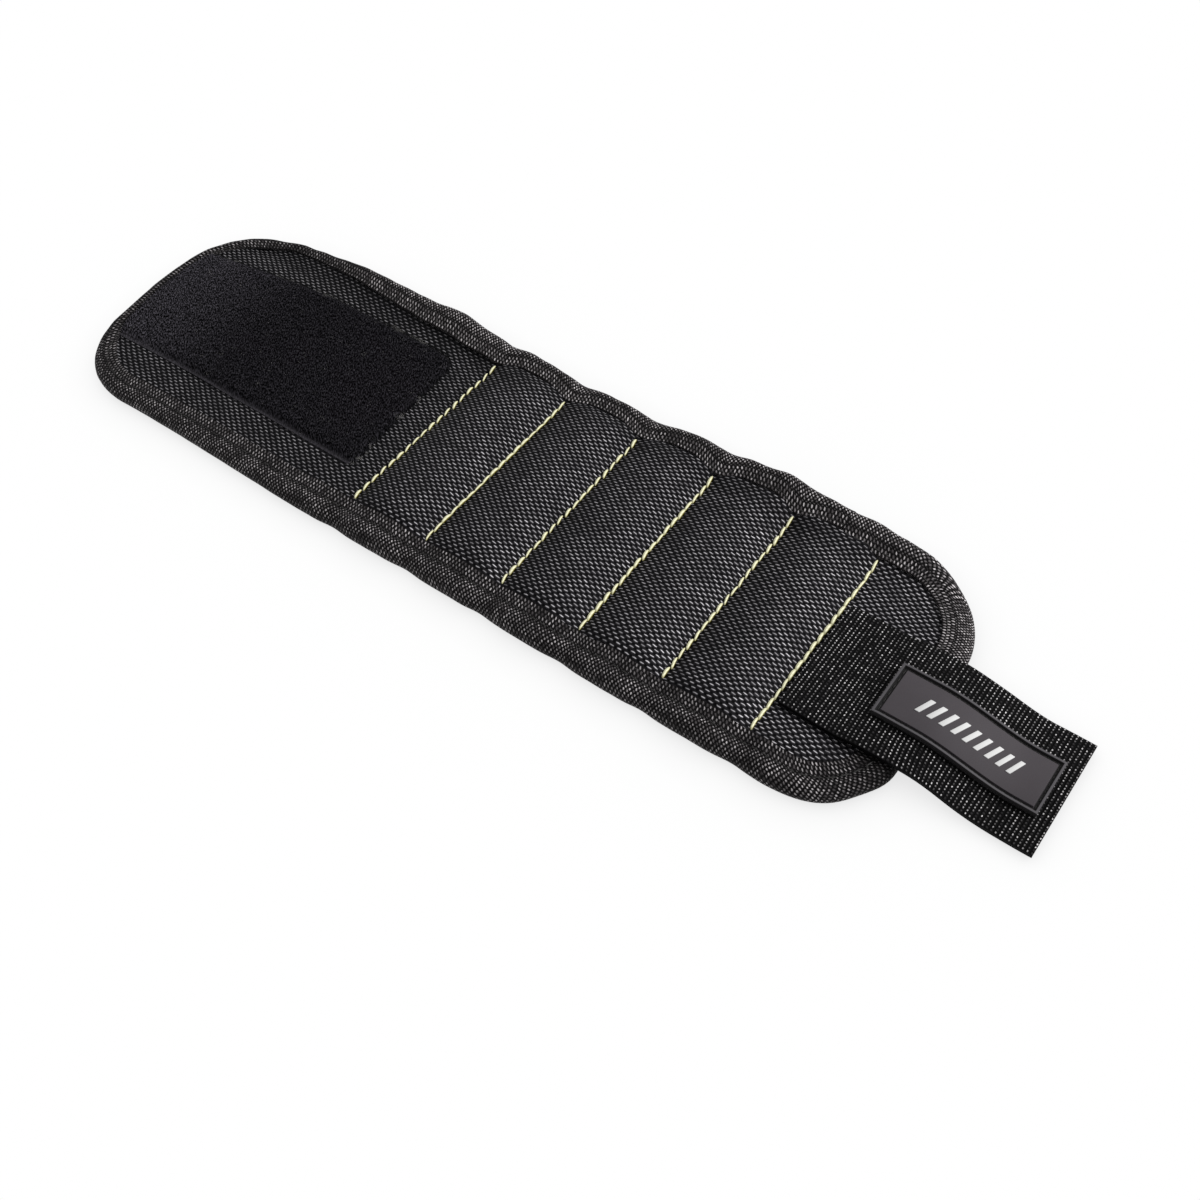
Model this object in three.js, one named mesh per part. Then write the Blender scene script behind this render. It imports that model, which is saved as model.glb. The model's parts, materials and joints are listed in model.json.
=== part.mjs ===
import * as THREE from 'three';

// Fabric wristband with magnets in sewn pockets, laid flat with its face up. Millimetres, +Z up.
// X runs along the band from the loop end to the flap, Y runs across it, Z = 0 is the table.

// Body, from the rounded loop end to the rounded strap end
const bodyWidth = 90;
const cornerRadius = 28;
const loopEndLength = 118;
const pocketCount = 5;
const pocketPitch = 28;
const strapEndLength = 37;

// The loop end bends on lines set back from the first seam at the pocket pitch
const bendCount = 2;

// Sewn layers, from the wrist outwards
const liningThickness = 3.2;
const faceThickness = 0.9;
const layerGap = 0.25;
const liningRoll = 5;

// Binding tape folded round the edge
const bindingWidth = 9.5;
const bindingThickness = 0.8;
const bindingRound = 1.4;
const bindingSwell = 0.5;

// Its upper leaf narrows round the loop end and widens again along the far edge
const leafNarrowing = 6.4;
const leafFullY = -62;
const leafNarrowY = -4;
const leafNarrowX = 8;
const leafFullX = 115;

// Disc magnets, two in a pocket, and the pillow that the face makes over them
const magnetDiameter = 15;
const magnetThickness = 1.5;
const magnetSpacing = 32;
const pillowSlack = 0.3;
const pillowPower = 2.2;
const pillowEdgeRoll = 6;

// Loop tape on the face of the loop end
const loopTapeWidth = 54;
const loopTapeShift = 1;
const loopTapeThickness = 1.6;
const loopTapeMargin = 10;
const tapeEdgeBevel = 0.5;

// Closing strap: sewn root on the body, free flap, hook tape under it and moulded plate on it
const strapWidth = 40;
const strapShift = -4;
const strapThickness = 1.6;
const strapEdgeBevel = 0.45;
const strapMargin = 2.5;
const flapLength = 60;
const flapLap = 20;
const flapFlat = 11;
const hookTapeWidth = 36;
const hookTapeThickness = 1.4;
const hookTapeMargin = 3;
const plateWidth = 18.8;
const plateThickness = 1.8;
const plateRecess = 0.6;
const plateFrame = 2;
const plateRootMargin = 6.5;
const plateEndMargin = 5;

// Seam thread lying in the valley between two pillows
const threadDiameter = 0.84;
const threadLift = 0.85;
const threadSlant = 0.15;
const threadDip = 0.12;
const stitchLength = 3.8;

// Folds: how far each hinge line wraps towards the wrist, and how far it bends back
const foldGap = 0.3;
const bendWrap = 62;
const firstSeamWrap = 32;
const middleSeamWrap = 30;
const turnSeamWrap = 60;
const lastSeamWrap = 54;
const backBend = 15;

// Facets
const arcSteps = 8;
const pillowSteps = 8;
const pillowEdgeSteps = 3;
const swellSteps = 4;
const flapSteps = 18;
const threadSides = 5;
const threadStepsPerStitch = 2;
const magnetSides = 20;

// Heights of the layers
const liningBottom = bindingThickness + layerGap;
const liningTop = liningBottom + liningThickness;
const faceBottom = liningTop + layerGap;
const faceTop = faceBottom + faceThickness;
const bindingTop = faceTop + layerGap + bindingThickness;
const onFace = faceTop + layerGap;
const hingeHeight = faceTop;

// Places along the band
const bodyLength = loopEndLength + pocketCount * pocketPitch + strapEndLength;
const sewnLine = bodyLength - flapLap;
const bandLength = sewnLine + flapLength;
const halfWidth = bodyWidth / 2;
const layerInset = bindingThickness + bindingRound + layerGap;
const pillowHalfWidth = halfWidth - bindingWidth;

// The pillow has to clear the rim of a magnet lying on the lining
const rimShare = 1 - (magnetDiameter / pocketPitch) ** pillowPower;
const pillowRise = (magnetThickness + layerGap + pillowSlack) / rimShare;

const faceCloth = cloth(0x1b1a1d, 0.85);
const liningMesh = cloth(0x202023, 0.95);
const bindingTape = cloth(0x1a1817, 0.8);
const loopPile = cloth(0x121215, 1);
const webbing = cloth(0x17171a, 0.75);
const hookPile = cloth(0x101012, 0.6);
const plateRubber = cloth(0x3a353c, 0.6);
const seamThread = cloth(0xe8dd8a, 0.7);
const magnetNickel = new THREE.MeshStandardMaterial({ color: 0xb9bbc0, roughness: 0.3, metalness: 1 });

function cloth(color, roughness) {
  return new THREE.MeshStandardMaterial({ color, roughness, metalness: 0 });
}

function addMesh(group, name, geometry, material) {
  const mesh = new THREE.Mesh(geometry, material);
  mesh.name = name;
  group.add(mesh);
  return mesh;
}

// Skins a row of like sections into one closed body and caps its two ends.
// The outline is counter-clockwise seen against the way the sections travel.
function loft(outline, sections) {
  const count = outline.length;
  const index = [];
  for (let s = 0; s + 1 < sections.length; s += 1) {
    for (let i = 0; i < count; i += 1) {
      const a = s * count + i;
      const b = s * count + ((i + 1) % count);
      index.push(a, b, a + count, b, b + count, a + count);
    }
  }
  const last = (sections.length - 1) * count;
  for (const [i, j, k] of THREE.ShapeUtils.triangulateShape(outline, [])) {
    index.push(k, j, i, last + i, last + j, last + k);
  }
  const geometry = new THREE.BufferGeometry().setFromPoints(sections.flat());
  geometry.setIndex(index);
  geometry.computeVertexNormals();
  return geometry;
}

// Hinge lines across the band: bend lines of the loop end, then the sewn seams
function seamWrap(seam) {
  if (seam === 0) return firstSeamWrap;
  if (seam === pocketCount) return lastSeamWrap;
  return seam === pocketCount - 1 ? turnSeamWrap : middleSeamWrap;
}

function hingeLine(x, wrap) {
  return { x, slope: Math.tan(THREE.MathUtils.degToRad(wrap) / 2) };
}

const backSlope = Math.tan(THREE.MathUtils.degToRad(backBend) / 2);
const hinges = [];
for (let bend = bendCount; bend > 0; bend -= 1) {
  hinges.push(hingeLine(loopEndLength - bend * pocketPitch, bendWrap));
}
for (let seam = 0; seam <= pocketCount; seam += 1) {
  hinges.push(hingeLine(loopEndLength + seam * pocketPitch, seamWrap(seam)));
}

// Mitre that lets two panels fold towards the wrist, and a little back, without meeting
function setback(hinge, z) {
  const below = Math.max(0, hingeHeight - z) * hinge.slope;
  const above = Math.max(0, z - hingeHeight) * backSlope;
  return foldGap / 2 + below + above;
}

function startX(panel, z) {
  return panel.from.x + setback(panel.from, z);
}

function endX(panel, z) {
  return panel.to.x - setback(panel.to, z);
}

function alongPanel(panel, share, z) {
  return THREE.MathUtils.lerp(startX(panel, z), endX(panel, z), share);
}

// Arcs of a rounded end, in the order met going counter-clockwise round the body
function endArcs(atStrap) {
  const side = halfWidth - cornerRadius;
  if (atStrap) {
    const x = bodyLength - cornerRadius;
    return [{ x, y: -side, turn: 1.5 * Math.PI }, { x, y: side, turn: 2 * Math.PI }];
  }
  return [{ x: cornerRadius, y: side, turn: 0.5 * Math.PI }, { x: cornerRadius, y: -side, turn: Math.PI }];
}

// Stations round an end: each gives its point at an inset from the edge
function endStations(atStrap) {
  const stations = [];
  for (const arc of endArcs(atStrap)) {
    for (let step = 0; step <= arcSteps; step += 1) {
      const angle = arc.turn + (step / arcSteps) * Math.PI / 2;
      stations.push((inset) => new THREE.Vector2(
        arc.x + (cornerRadius - inset) * Math.cos(angle),
        arc.y + (cornerRadius - inset) * Math.sin(angle),
      ));
    }
  }
  return stations;
}

// Flat cloth layer of a rounded end, cut square at the fold
function endPlate(panel, atStrap, bottom, thickness) {
  const cut = atStrap ? startX(panel, bottom) : endX(panel, bottom);
  const half = halfWidth - layerInset;
  const points = endStations(atStrap).map((station) => station(layerInset));
  points.push(new THREE.Vector2(cut, atStrap ? half : -half), new THREE.Vector2(cut, atStrap ? -half : half));
  const plate = new THREE.ExtrudeGeometry(new THREE.Shape(points), { depth: thickness, bevelEnabled: false });
  plate.translate(0, 0, bottom);
  return plate;
}

// Width of the binding's upper leaf at a place on the band's edge
function leafWidth({ x, y }) {
  const far = THREE.MathUtils.smoothstep(y, leafFullY, leafNarrowY);
  const end = 1 - THREE.MathUtils.smoothstep(x, leafNarrowX, leafFullX);
  return bindingWidth - leafNarrowing * far * end;
}

// Section of the folded binding: x is the inset from the band's edge, y is the height
function bindingOutline() {
  const innerRound = bindingThickness + bindingRound / 2;
  const corner = bindingRound * (1 - Math.SQRT1_2);
  const lower = [
    [bindingWidth, bindingThickness],
    [innerRound, bindingThickness],
    [bindingThickness, innerRound],
  ];
  const outer = [
    [0, bindingRound],
    [corner, corner],
    [bindingRound, 0],
    [bindingWidth, 0],
  ];
  const flip = ([inset, z]) => [inset, bindingTop - z];
  const loop = [...outer, ...lower, ...lower.map(flip).reverse(), ...outer.map(flip).reverse()];
  return loop.map(([inset, z]) => new THREE.Vector2(inset, z));
}

const bindingSection = bindingOutline();

// The section with its upper leaf as wide as it is at a place on the edge
function sectionAt(edge) {
  const leaf = leafWidth(edge);
  return bindingSection.map(({ x: inset, y: z }) => ({
    inset: inset === bindingWidth && z > bindingTop / 2 ? leaf : inset,
    z,
  }));
}

// Straight binding of a middle panel, swelling between the two folds that draw it in
function sideBinding(panel, farSide) {
  const side = farSide ? 1 : -1;
  const sections = [];
  for (let step = 0; step <= swellSteps; step += 1) {
    const share = farSide ? 1 - step / swellSteps : step / swellSteps;
    const swell = bindingSwell * Math.sin(Math.PI * share);
    const edge = { x: alongPanel(panel, share, bindingTop), y: side * halfWidth };
    sections.push(sectionAt(edge).map(({ inset, z }) => new THREE.Vector3(
      alongPanel(panel, share, z),
      side * (halfWidth - inset),
      z + swell * (z / bindingTop),
    )));
  }
  return loft(bindingSection, sections);
}

// Binding of a rounded end, from fold to fold round the corners
function endBinding(panel, atStrap) {
  const foldX = (z) => (atStrap ? startX(panel, z) : endX(panel, z));
  const firstSide = atStrap ? -1 : 1;
  const leg = (side) => sectionAt({ x: foldX(bindingTop), y: side * halfWidth }).map(({ inset, z }) => new THREE.Vector3(
    foldX(z),
    side * (halfWidth - inset),
    z,
  ));
  const round = endStations(atStrap).map((station) => sectionAt(station(0)).map(({ inset, z }) => {
    const point = station(inset);
    return new THREE.Vector3(point.x, point.y, z);
  }));
  return loft(bindingSection, [leg(firstSide), ...round, leg(-firstSide)]);
}

// Pillow height over the face's flat level, at a share of the panel's length and a distance off centre
function pillowAt(share, y) {
  const along = 1 - Math.abs(2 * share - 1) ** pillowPower;
  const inside = THREE.MathUtils.clamp((pillowHalfWidth - Math.abs(y)) / pillowEdgeRoll, 0, 1);
  return pillowRise * along * Math.sin(inside * Math.PI / 2);
}

function mirrored(values) {
  return [...values.map((value) => -value), ...values.toReversed()];
}

// Cloth layer of a middle panel between two height functions, over given shares and columns
function panelLayer(panel, shares, columns, lowAt, highAt) {
  const outline = [
    ...columns.map((y) => ({ y, heightAt: lowAt })),
    ...columns.toReversed().map((y) => ({ y, heightAt: highAt })),
  ];
  const sections = shares.map((share) => outline.map(({ y, heightAt }) => new THREE.Vector3(
    alongPanel(panel, share, heightAt(0, y)),
    y,
    heightAt(share, y),
  )));
  const middle = shares[Math.floor(shares.length / 2)];
  return loft(outline.map(({ y, heightAt }) => new THREE.Vector2(y, heightAt(middle, y))), sections);
}

function pocketFace(panel) {
  const shares = Array.from({ length: pillowSteps + 1 }, (_, step) => step / pillowSteps);
  const edge = [halfWidth - layerInset];
  for (let step = 0; step <= pillowEdgeSteps; step += 1) {
    edge.push(pillowHalfWidth - pillowEdgeRoll * (step / pillowEdgeSteps));
  }
  return panelLayer(
    panel,
    shares,
    mirrored(edge),
    (share, y) => faceBottom + pillowAt(share, y),
    (share, y) => faceTop + pillowAt(share, y),
  );
}

function flatFace(panel) {
  return panelLayer(panel, [0, 1], mirrored([halfWidth - layerInset]), () => faceBottom, () => faceTop);
}

// Lining of a middle panel: its cushioned underside swells down to the table inside the binding
function panelLining(panel) {
  const leafEdge = pillowHalfWidth - layerGap;
  const rollShare = liningRoll / (panel.to.x - panel.from.x);
  const swells = (share, y) => share > 0 && share < 1 && Math.abs(y) < leafEdge;
  return panelLayer(
    panel,
    [0, rollShare, 1 - rollShare, 1],
    mirrored([halfWidth - layerInset, leafEdge, leafEdge - liningRoll]),
    (share, y) => (swells(share, y) ? 0 : liningBottom),
    () => liningTop,
  );
}

// Flat tape or webbing with its long edges taken off, lying along X
function bar(x0, x1, width, shift, bottom, thickness, bevel) {
  const half = width / 2;
  const section = bevelledSection(half, thickness, bevel);
  const ring = (x) => section.map(({ x: y, y: z }) => new THREE.Vector3(x, y + shift, z + bottom));
  return loft(section, [ring(x0), ring(x1)]);
}

function bevelledSection(half, thickness, bevel) {
  return [
    [-half, 0], [half, 0],
    [half, thickness - bevel], [half - bevel, thickness],
    [bevel - half, thickness], [-half, thickness - bevel],
  ].map(([y, z]) => new THREE.Vector2(y, z));
}

// One length of loop tape on a straight panel of the loop end
function loopTape(panel) {
  const top = onFace + loopTapeThickness;
  const x1 = Math.min(endX(panel, top), loopEndLength - loopTapeMargin);
  return bar(startX(panel, top), x1, loopTapeWidth, loopTapeShift, onFace, loopTapeThickness, tapeEdgeBevel);
}

// Loop tape of the rounded end, its corners cut to follow the binding's inner edge
function loopTapeEnd(panel) {
  const low = loopTapeShift - loopTapeWidth / 2;
  const high = loopTapeShift + loopTapeWidth / 2;
  const cut = endX(panel, onFace + loopTapeThickness);
  const edge = endStations(false).map((station) => station(leafWidth(station(0)) + layerGap));
  const crossing = (y) => {
    const next = edge.findIndex((point) => point.y < y);
    const [above, below] = [edge[next - 1], edge[next]];
    return above.clone().lerp(below, (above.y - y) / (above.y - below.y));
  };
  const shape = new THREE.Shape([
    new THREE.Vector2(cut, high),
    crossing(high),
    ...edge.filter(({ y }) => y > low && y < high),
    crossing(low),
    new THREE.Vector2(cut, low),
  ]);
  const tape = new THREE.ExtrudeGeometry(shape, { depth: loopTapeThickness, bevelEnabled: false });
  tape.translate(0, 0, onFace);
  return tape;
}

function magnet(x, y) {
  const disc = new THREE.CylinderGeometry(magnetDiameter / 2, magnetDiameter / 2, magnetThickness, magnetSides);
  disc.rotateX(Math.PI / 2);
  disc.translate(x, y, liningTop + layerGap + magnetThickness / 2);
  return disc;
}

// Thread of one seam: long slanted stitches that dip where the needle went through
function threadTube(x) {
  const length = 2 * pillowHalfWidth - stitchLength / 2;
  const stitches = Math.round(length / stitchLength);
  const steps = stitches * threadStepsPerStitch;
  const circle = Array.from({ length: threadSides }, (_, side) => {
    const angle = (side / threadSides) * 2 * Math.PI;
    return new THREE.Vector2(Math.cos(angle), Math.sin(angle)).multiplyScalar(threadDiameter / 2);
  });
  const sections = [];
  for (let step = 0; step <= steps; step += 1) {
    const y = (step / steps - 0.5) * length;
    const sway = Math.cos((step / threadStepsPerStitch) * 2 * Math.PI);
    const z = hingeHeight + threadLift - threadDip * (1 + sway) / 2;
    sections.push(circle.map((rim) => new THREE.Vector3(x - sway * threadSlant + rim.y, y, z + rim.x)));
  }
  return loft(circle, sections);
}

// Middle line of the flap: off the face, up over the binding, then down to lie on the table
const flapRoot = onFace + strapThickness / 2;
const flapOver = bindingTop + layerGap + strapThickness / 2;
const flapEnd = hookTapeThickness + layerGap + strapThickness / 2;

function flapHeight(x) {
  const climb = THREE.MathUtils.smootherstep(x, sewnLine, bodyLength - bindingWidth - layerGap);
  const droop = THREE.MathUtils.smoothstep(x, bodyLength - bindingRound, bandLength - flapFlat);
  return flapRoot + (flapOver - flapRoot) * climb - (flapOver - flapEnd) * droop;
}

// Places a section on the flap's middle line: its x runs across the strap, its y off the line
function onFlap(x, section) {
  const step = stitchLength / 2;
  const rise = flapHeight(x + step / 2) - flapHeight(x - step / 2);
  const normal = new THREE.Vector2(-rise, step).normalize();
  const z = flapHeight(x);
  return section.map((point) => new THREE.Vector3(
    x + normal.x * point.y,
    strapShift + point.x,
    z + normal.y * point.y,
  ));
}

function alongFlap(x0, x1, section) {
  const sections = [];
  for (let step = 0; step <= flapSteps; step += 1) {
    sections.push(onFlap(THREE.MathUtils.lerp(x0, x1, step / flapSteps), section));
  }
  return loft(section, sections);
}

function flapWebbing() {
  const section = bevelledSection(strapWidth / 2, strapThickness, strapEdgeBevel);
  for (const point of section) point.y -= strapThickness / 2;
  return alongFlap(sewnLine + foldGap / 2, bandLength, section);
}

function hookTape() {
  const top = -strapThickness / 2 - layerGap;
  const half = hookTapeWidth / 2;
  const section = [[-half, 0], [half, 0], [half, hookTapeThickness], [-half, hookTapeThickness]]
    .map(([y, z]) => new THREE.Vector2(y, top - hookTapeThickness + z));
  return alongFlap(bodyLength + hookTapeMargin, bandLength - hookTapeMargin, section);
}

// Moulded plate with a raised frame round its recessed field
function mouldedPlate() {
  const x0 = sewnLine + plateRootMargin;
  const x1 = bandLength - plateEndMargin;
  const bottom = strapThickness / 2 + layerGap;
  const half = plateWidth / 2;
  const field = half - plateFrame;
  const section = (floor) => [
    [-half, 0], [half, 0], [half, plateThickness], [field, plateThickness],
    [field - plateRecess / 2, floor], [plateRecess / 2 - field, floor],
    [-field, plateThickness], [-half, plateThickness],
  ].map(([y, z]) => new THREE.Vector2(y, bottom + z));
  const framed = section(plateThickness);
  const recessed = section(plateThickness - plateRecess);
  const sections = [onFlap(x0, framed), onFlap(x0 + plateFrame, framed)];
  const field0 = x0 + plateFrame + plateRecess / 2;
  const field1 = x1 - plateFrame - plateRecess / 2;
  for (let step = 0; step <= flapSteps; step += 1) {
    sections.push(onFlap(THREE.MathUtils.lerp(field0, field1, step / flapSteps), recessed));
  }
  sections.push(onFlap(x1 - plateFrame, framed), onFlap(x1, framed));
  return loft(recessed, sections);
}

const wristband = new THREE.Group();
wristband.position.x = -bandLength / 2;

function panelGroup() {
  const group = new THREE.Group();
  wristband.add(group);
  return group;
}

function addMiddleLayers(group, name, panel, face) {
  addMesh(group, `face_${name}`, face, faceCloth);
  addMesh(group, `lining_${name}`, panelLining(panel), liningMesh);
  addMesh(group, `binding_far_${name}`, sideBinding(panel, true), bindingTape);
  addMesh(group, `binding_near_${name}`, sideBinding(panel, false), bindingTape);
}

function addEndLayers(group, name, panel, atStrap) {
  addMesh(group, `face_${name}`, endPlate(panel, atStrap, faceBottom, faceThickness), faceCloth);
  addMesh(group, `lining_${name}`, endPlate(panel, atStrap, liningBottom, liningThickness), liningMesh);
  addMesh(group, `binding_${name}`, endBinding(panel, atStrap), bindingTape);
}

// Loop end, panel by panel from its rounded end to the first seam
for (let number = 0; number <= bendCount; number += 1) {
  const name = `loop_${number + 1}`;
  const panel = { from: hinges[number - 1], to: hinges[number] };
  const group = panelGroup();
  if (panel.from) addMiddleLayers(group, name, panel, flatFace(panel));
  else addEndLayers(group, name, panel, false);
  addMesh(group, `loop_tape_${number + 1}`, panel.from ? loopTape(panel) : loopTapeEnd(panel), loopPile);
}

// Magnet pockets between the seams
for (let pocket = 0; pocket < pocketCount; pocket += 1) {
  const name = `pocket_${pocket + 1}`;
  const panel = { from: hinges[bendCount + pocket], to: hinges[bendCount + pocket + 1] };
  const middle = (panel.from.x + panel.to.x) / 2;
  const group = panelGroup();
  addMiddleLayers(group, name, panel, pocketFace(panel));
  addMesh(group, `magnet_far_${name}`, magnet(middle, magnetSpacing / 2), magnetNickel);
  addMesh(group, `magnet_near_${name}`, magnet(middle, -magnetSpacing / 2), magnetNickel);
}

for (let seam = 0; seam <= pocketCount; seam += 1) {
  addMesh(wristband, `seam_thread_${seam + 1}`, threadTube(hinges[bendCount + seam].x), seamThread);
}

// Strap end with the sewn root of the strap, and the free flap
const strapPanel = { from: hinges[bendCount + pocketCount] };
const strapEnd = panelGroup();
addEndLayers(strapEnd, 'strap_end', strapPanel, true);
addMesh(
  strapEnd,
  'strap_base',
  bar(
    strapPanel.from.x + strapMargin,
    sewnLine - foldGap / 2,
    strapWidth,
    strapShift,
    onFace,
    strapThickness,
    strapEdgeBevel,
  ),
  webbing,
);

const flap = panelGroup();
addMesh(flap, 'strap_flap', flapWebbing(), webbing);
addMesh(flap, 'hook_tape', hookTape(), hookPile);
addMesh(flap, 'moulded_plate', mouldedPlate(), plateRubber);

export default wristband;
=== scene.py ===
import json
import math
import random

import bmesh
import bpy
from mathutils import Matrix, Vector, noise
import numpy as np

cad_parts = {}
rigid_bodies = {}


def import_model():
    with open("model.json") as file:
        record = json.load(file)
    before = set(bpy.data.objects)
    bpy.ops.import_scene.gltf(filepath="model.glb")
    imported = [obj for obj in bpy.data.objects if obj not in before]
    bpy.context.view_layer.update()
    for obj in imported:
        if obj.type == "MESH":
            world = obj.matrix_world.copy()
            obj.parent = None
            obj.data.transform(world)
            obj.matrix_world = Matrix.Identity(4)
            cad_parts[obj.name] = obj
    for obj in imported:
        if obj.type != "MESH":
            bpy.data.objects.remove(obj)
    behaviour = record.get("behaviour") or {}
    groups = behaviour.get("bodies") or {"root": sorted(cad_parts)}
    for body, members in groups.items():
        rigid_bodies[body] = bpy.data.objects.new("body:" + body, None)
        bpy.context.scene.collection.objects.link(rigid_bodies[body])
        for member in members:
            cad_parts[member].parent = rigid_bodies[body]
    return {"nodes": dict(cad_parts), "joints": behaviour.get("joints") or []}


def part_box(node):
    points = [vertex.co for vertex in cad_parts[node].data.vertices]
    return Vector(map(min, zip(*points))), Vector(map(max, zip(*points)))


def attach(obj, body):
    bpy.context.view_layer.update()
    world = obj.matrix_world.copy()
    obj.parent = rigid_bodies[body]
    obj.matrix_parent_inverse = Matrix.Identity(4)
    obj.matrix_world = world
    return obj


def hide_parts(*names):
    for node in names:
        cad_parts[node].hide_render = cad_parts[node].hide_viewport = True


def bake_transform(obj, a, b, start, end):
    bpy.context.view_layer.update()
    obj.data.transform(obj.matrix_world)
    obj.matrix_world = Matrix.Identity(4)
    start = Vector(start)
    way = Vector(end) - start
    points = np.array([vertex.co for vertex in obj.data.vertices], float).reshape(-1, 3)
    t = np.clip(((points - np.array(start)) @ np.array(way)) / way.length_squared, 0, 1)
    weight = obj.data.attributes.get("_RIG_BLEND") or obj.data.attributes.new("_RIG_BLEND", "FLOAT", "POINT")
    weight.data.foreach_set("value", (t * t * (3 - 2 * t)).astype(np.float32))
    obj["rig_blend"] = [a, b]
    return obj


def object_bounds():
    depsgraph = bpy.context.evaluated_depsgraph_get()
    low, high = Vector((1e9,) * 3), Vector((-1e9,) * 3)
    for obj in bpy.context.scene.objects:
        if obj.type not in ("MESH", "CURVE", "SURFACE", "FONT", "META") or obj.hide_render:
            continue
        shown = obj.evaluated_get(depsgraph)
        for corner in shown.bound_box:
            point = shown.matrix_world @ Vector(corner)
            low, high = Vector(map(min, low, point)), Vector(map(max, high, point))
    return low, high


# Pieces are modelled in millimetres, x from the loop end, and put into the frame when they are finished
mm = 0.001
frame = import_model()
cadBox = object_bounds()
bandStart = cadBox[0].x
scene = bpy.context.scene
luck = random.Random(11)


def bandBox(node):
    low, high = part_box(node)
    toBand = Vector((bandStart, 0, 0))
    return (low - toBand) / mm, (high - toBand) / mm


folds = [joint for joint in frame["joints"] if joint["child"] != "flap"]
foldX = [(joint["pos_m"][0] - bandStart) / mm for joint in folds]
seamX = [x for x, joint in zip(foldX, folds) if joint["name"].startswith("seam")]
faceTop = folds[0]["pos_m"][2] / mm
bodyLength = bandBox("binding_strap_end")[1].x
halfWidth = bandBox("binding_loop_1")[1].y
bandLength = bandBox("strap_flap")[1].x

# Layers that cross a fold are cut halfway to the next one
cuts = [0] + [(a + b) / 2 for a, b in zip(foldX, foldX[1:])] + [bodyLength]


# Shader maths

class Field:
    # a number that changes over the surface
    def __init__(self, finish, socket):
        self.finish = finish
        self.socket = socket

    def op(self, operation, *others):
        return self.finish.math(operation, self, *others)

    def __add__(self, other):
        return self.op("ADD", other)

    def __sub__(self, other):
        return self.op("SUBTRACT", other)

    def __mul__(self, other):
        return self.op("MULTIPLY", other)

    def __radd__(self, other):
        return self.finish.math("ADD", other, self)

    def __rsub__(self, other):
        return self.finish.math("SUBTRACT", other, self)

    def __rmul__(self, other):
        return self.finish.math("MULTIPLY", other, self)

    def squared(self):
        return self * self

    def above(self, floor):
        return self.op("MAXIMUM", floor)

    def band(self, low, high):
        # smooth step from 0 at low to 1 at high
        made = self.finish.node(
            "ShaderNodeMapRange", {"interpolation_type": "SMOOTHSTEP"},
            {"Value": self, "From Min": low, "From Max": high},
        )
        return Field(self.finish, made.outputs["Result"])

    def window(self, low, full, fade, high):
        # 1 from full to fade, 0 below low and above high
        return self.band(low, full) * (1 - self.band(fade, high))


class Finish:
    def __init__(self, name, owner=None):
        self.owner = owner or bpy.data.materials.new(name)
        self.owner.use_nodes = True
        self.tree = self.owner.node_tree
        self.shader = self.tree.nodes.get("Principled BSDF")

    def feed(self, socket, value):
        if isinstance(value, Field):
            value = value.socket
        if isinstance(value, bpy.types.NodeSocket):
            self.tree.links.new(value, socket)
        else:
            socket.default_value = value

    def node(self, kind, settings, sockets):
        made = self.tree.nodes.new(kind)
        for key, value in settings.items():
            setattr(made, key, value)
        for key, value in sockets.items():
            self.feed(made.inputs[key], value)
        return made

    def math(self, operation, *values):
        made = self.node("ShaderNodeMath", {"operation": operation}, dict(enumerate(values)))
        return Field(self, made.outputs[0])

    def mix(self, share, first, second):
        made = self.node("ShaderNodeMix", {"data_type": "RGBA"}, {0: share, 6: first, 7: second})
        return made.outputs[2]

    def clothMap(self):
        # millimetres along and across the piece as it lay flat
        return self.node("ShaderNodeUVMap", {"uv_map": "cloth"}, {}).outputs["UV"]

    def place(self):
        return self.node("ShaderNodeTexCoord", {}, {}).outputs["Object"]

    def parts(self, vector):
        made = self.node("ShaderNodeSeparateXYZ", {}, {"Vector": vector})
        return Field(self, made.outputs["X"]), Field(self, made.outputs["Y"])

    def grain(self, vector, scale, detail=2.0, twist=0.0):
        made = self.node("ShaderNodeTexNoise", {}, {
            "Vector": vector, "Scale": scale, "Detail": detail, "Distortion": twist,
        })
        return Field(self, made.outputs[0])

    def joined(self, u, v):
        return self.node("ShaderNodeCombineXYZ", {}, {"X": u, "Y": v}).outputs[0]

    def chance(self, u, v):
        cell = self.joined(u, v)
        made = self.node("ShaderNodeTexWhiteNoise", {"noise_dimensions": "2D"}, {"Vector": cell})
        return Field(self, made.outputs["Value"])

    def bump(self, height, strength, depth):
        sockets = {"Height": height, "Strength": strength, "Distance": depth * mm}
        made = self.node("ShaderNodeBump", {}, sockets)
        self.feed(self.shader.inputs["Normal"], made.outputs["Normal"])

    def put(self, **sockets):
        for key, value in sockets.items():
            self.feed(self.shader.inputs[key.replace("_", " ")], value)
        return self.owner


def rgb(red, green, blue):
    return (red, green, blue, 1.0)


def yarnCells(u, v, cell, stagger=0.5):
    # cells of a weave: place in the cell from its middle in millimetres, and the cell's own number
    along, across = cell
    row = (v * (1 / across)).op("FLOOR")
    shifted = u * (1 / along) + (row * stagger).op("FRACT")
    placeU = (shifted.op("FRACT") - 0.5) * along
    placeV = ((v * (1 / across)).op("FRACT") - 0.5) * across
    return placeU, placeV, shifted.op("FLOOR"), row


def dome(u, v, halves):
    fall = (u * (1 / halves[0])).squared() + (v * (1 / halves[1])).squared()
    return (1 - fall).above(0).op("SQRT")


woven = {
    "crestBand": (0, 0.8),
    "acrossScale": 1.7,  # how much finer the yarns wander across than along
    "shadeBand": (0.35, 0.7),
    "speckBand": (0.56, 0.74),
    "fibreScale": 9,
    "pitDepth": 0.5,
}


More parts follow.
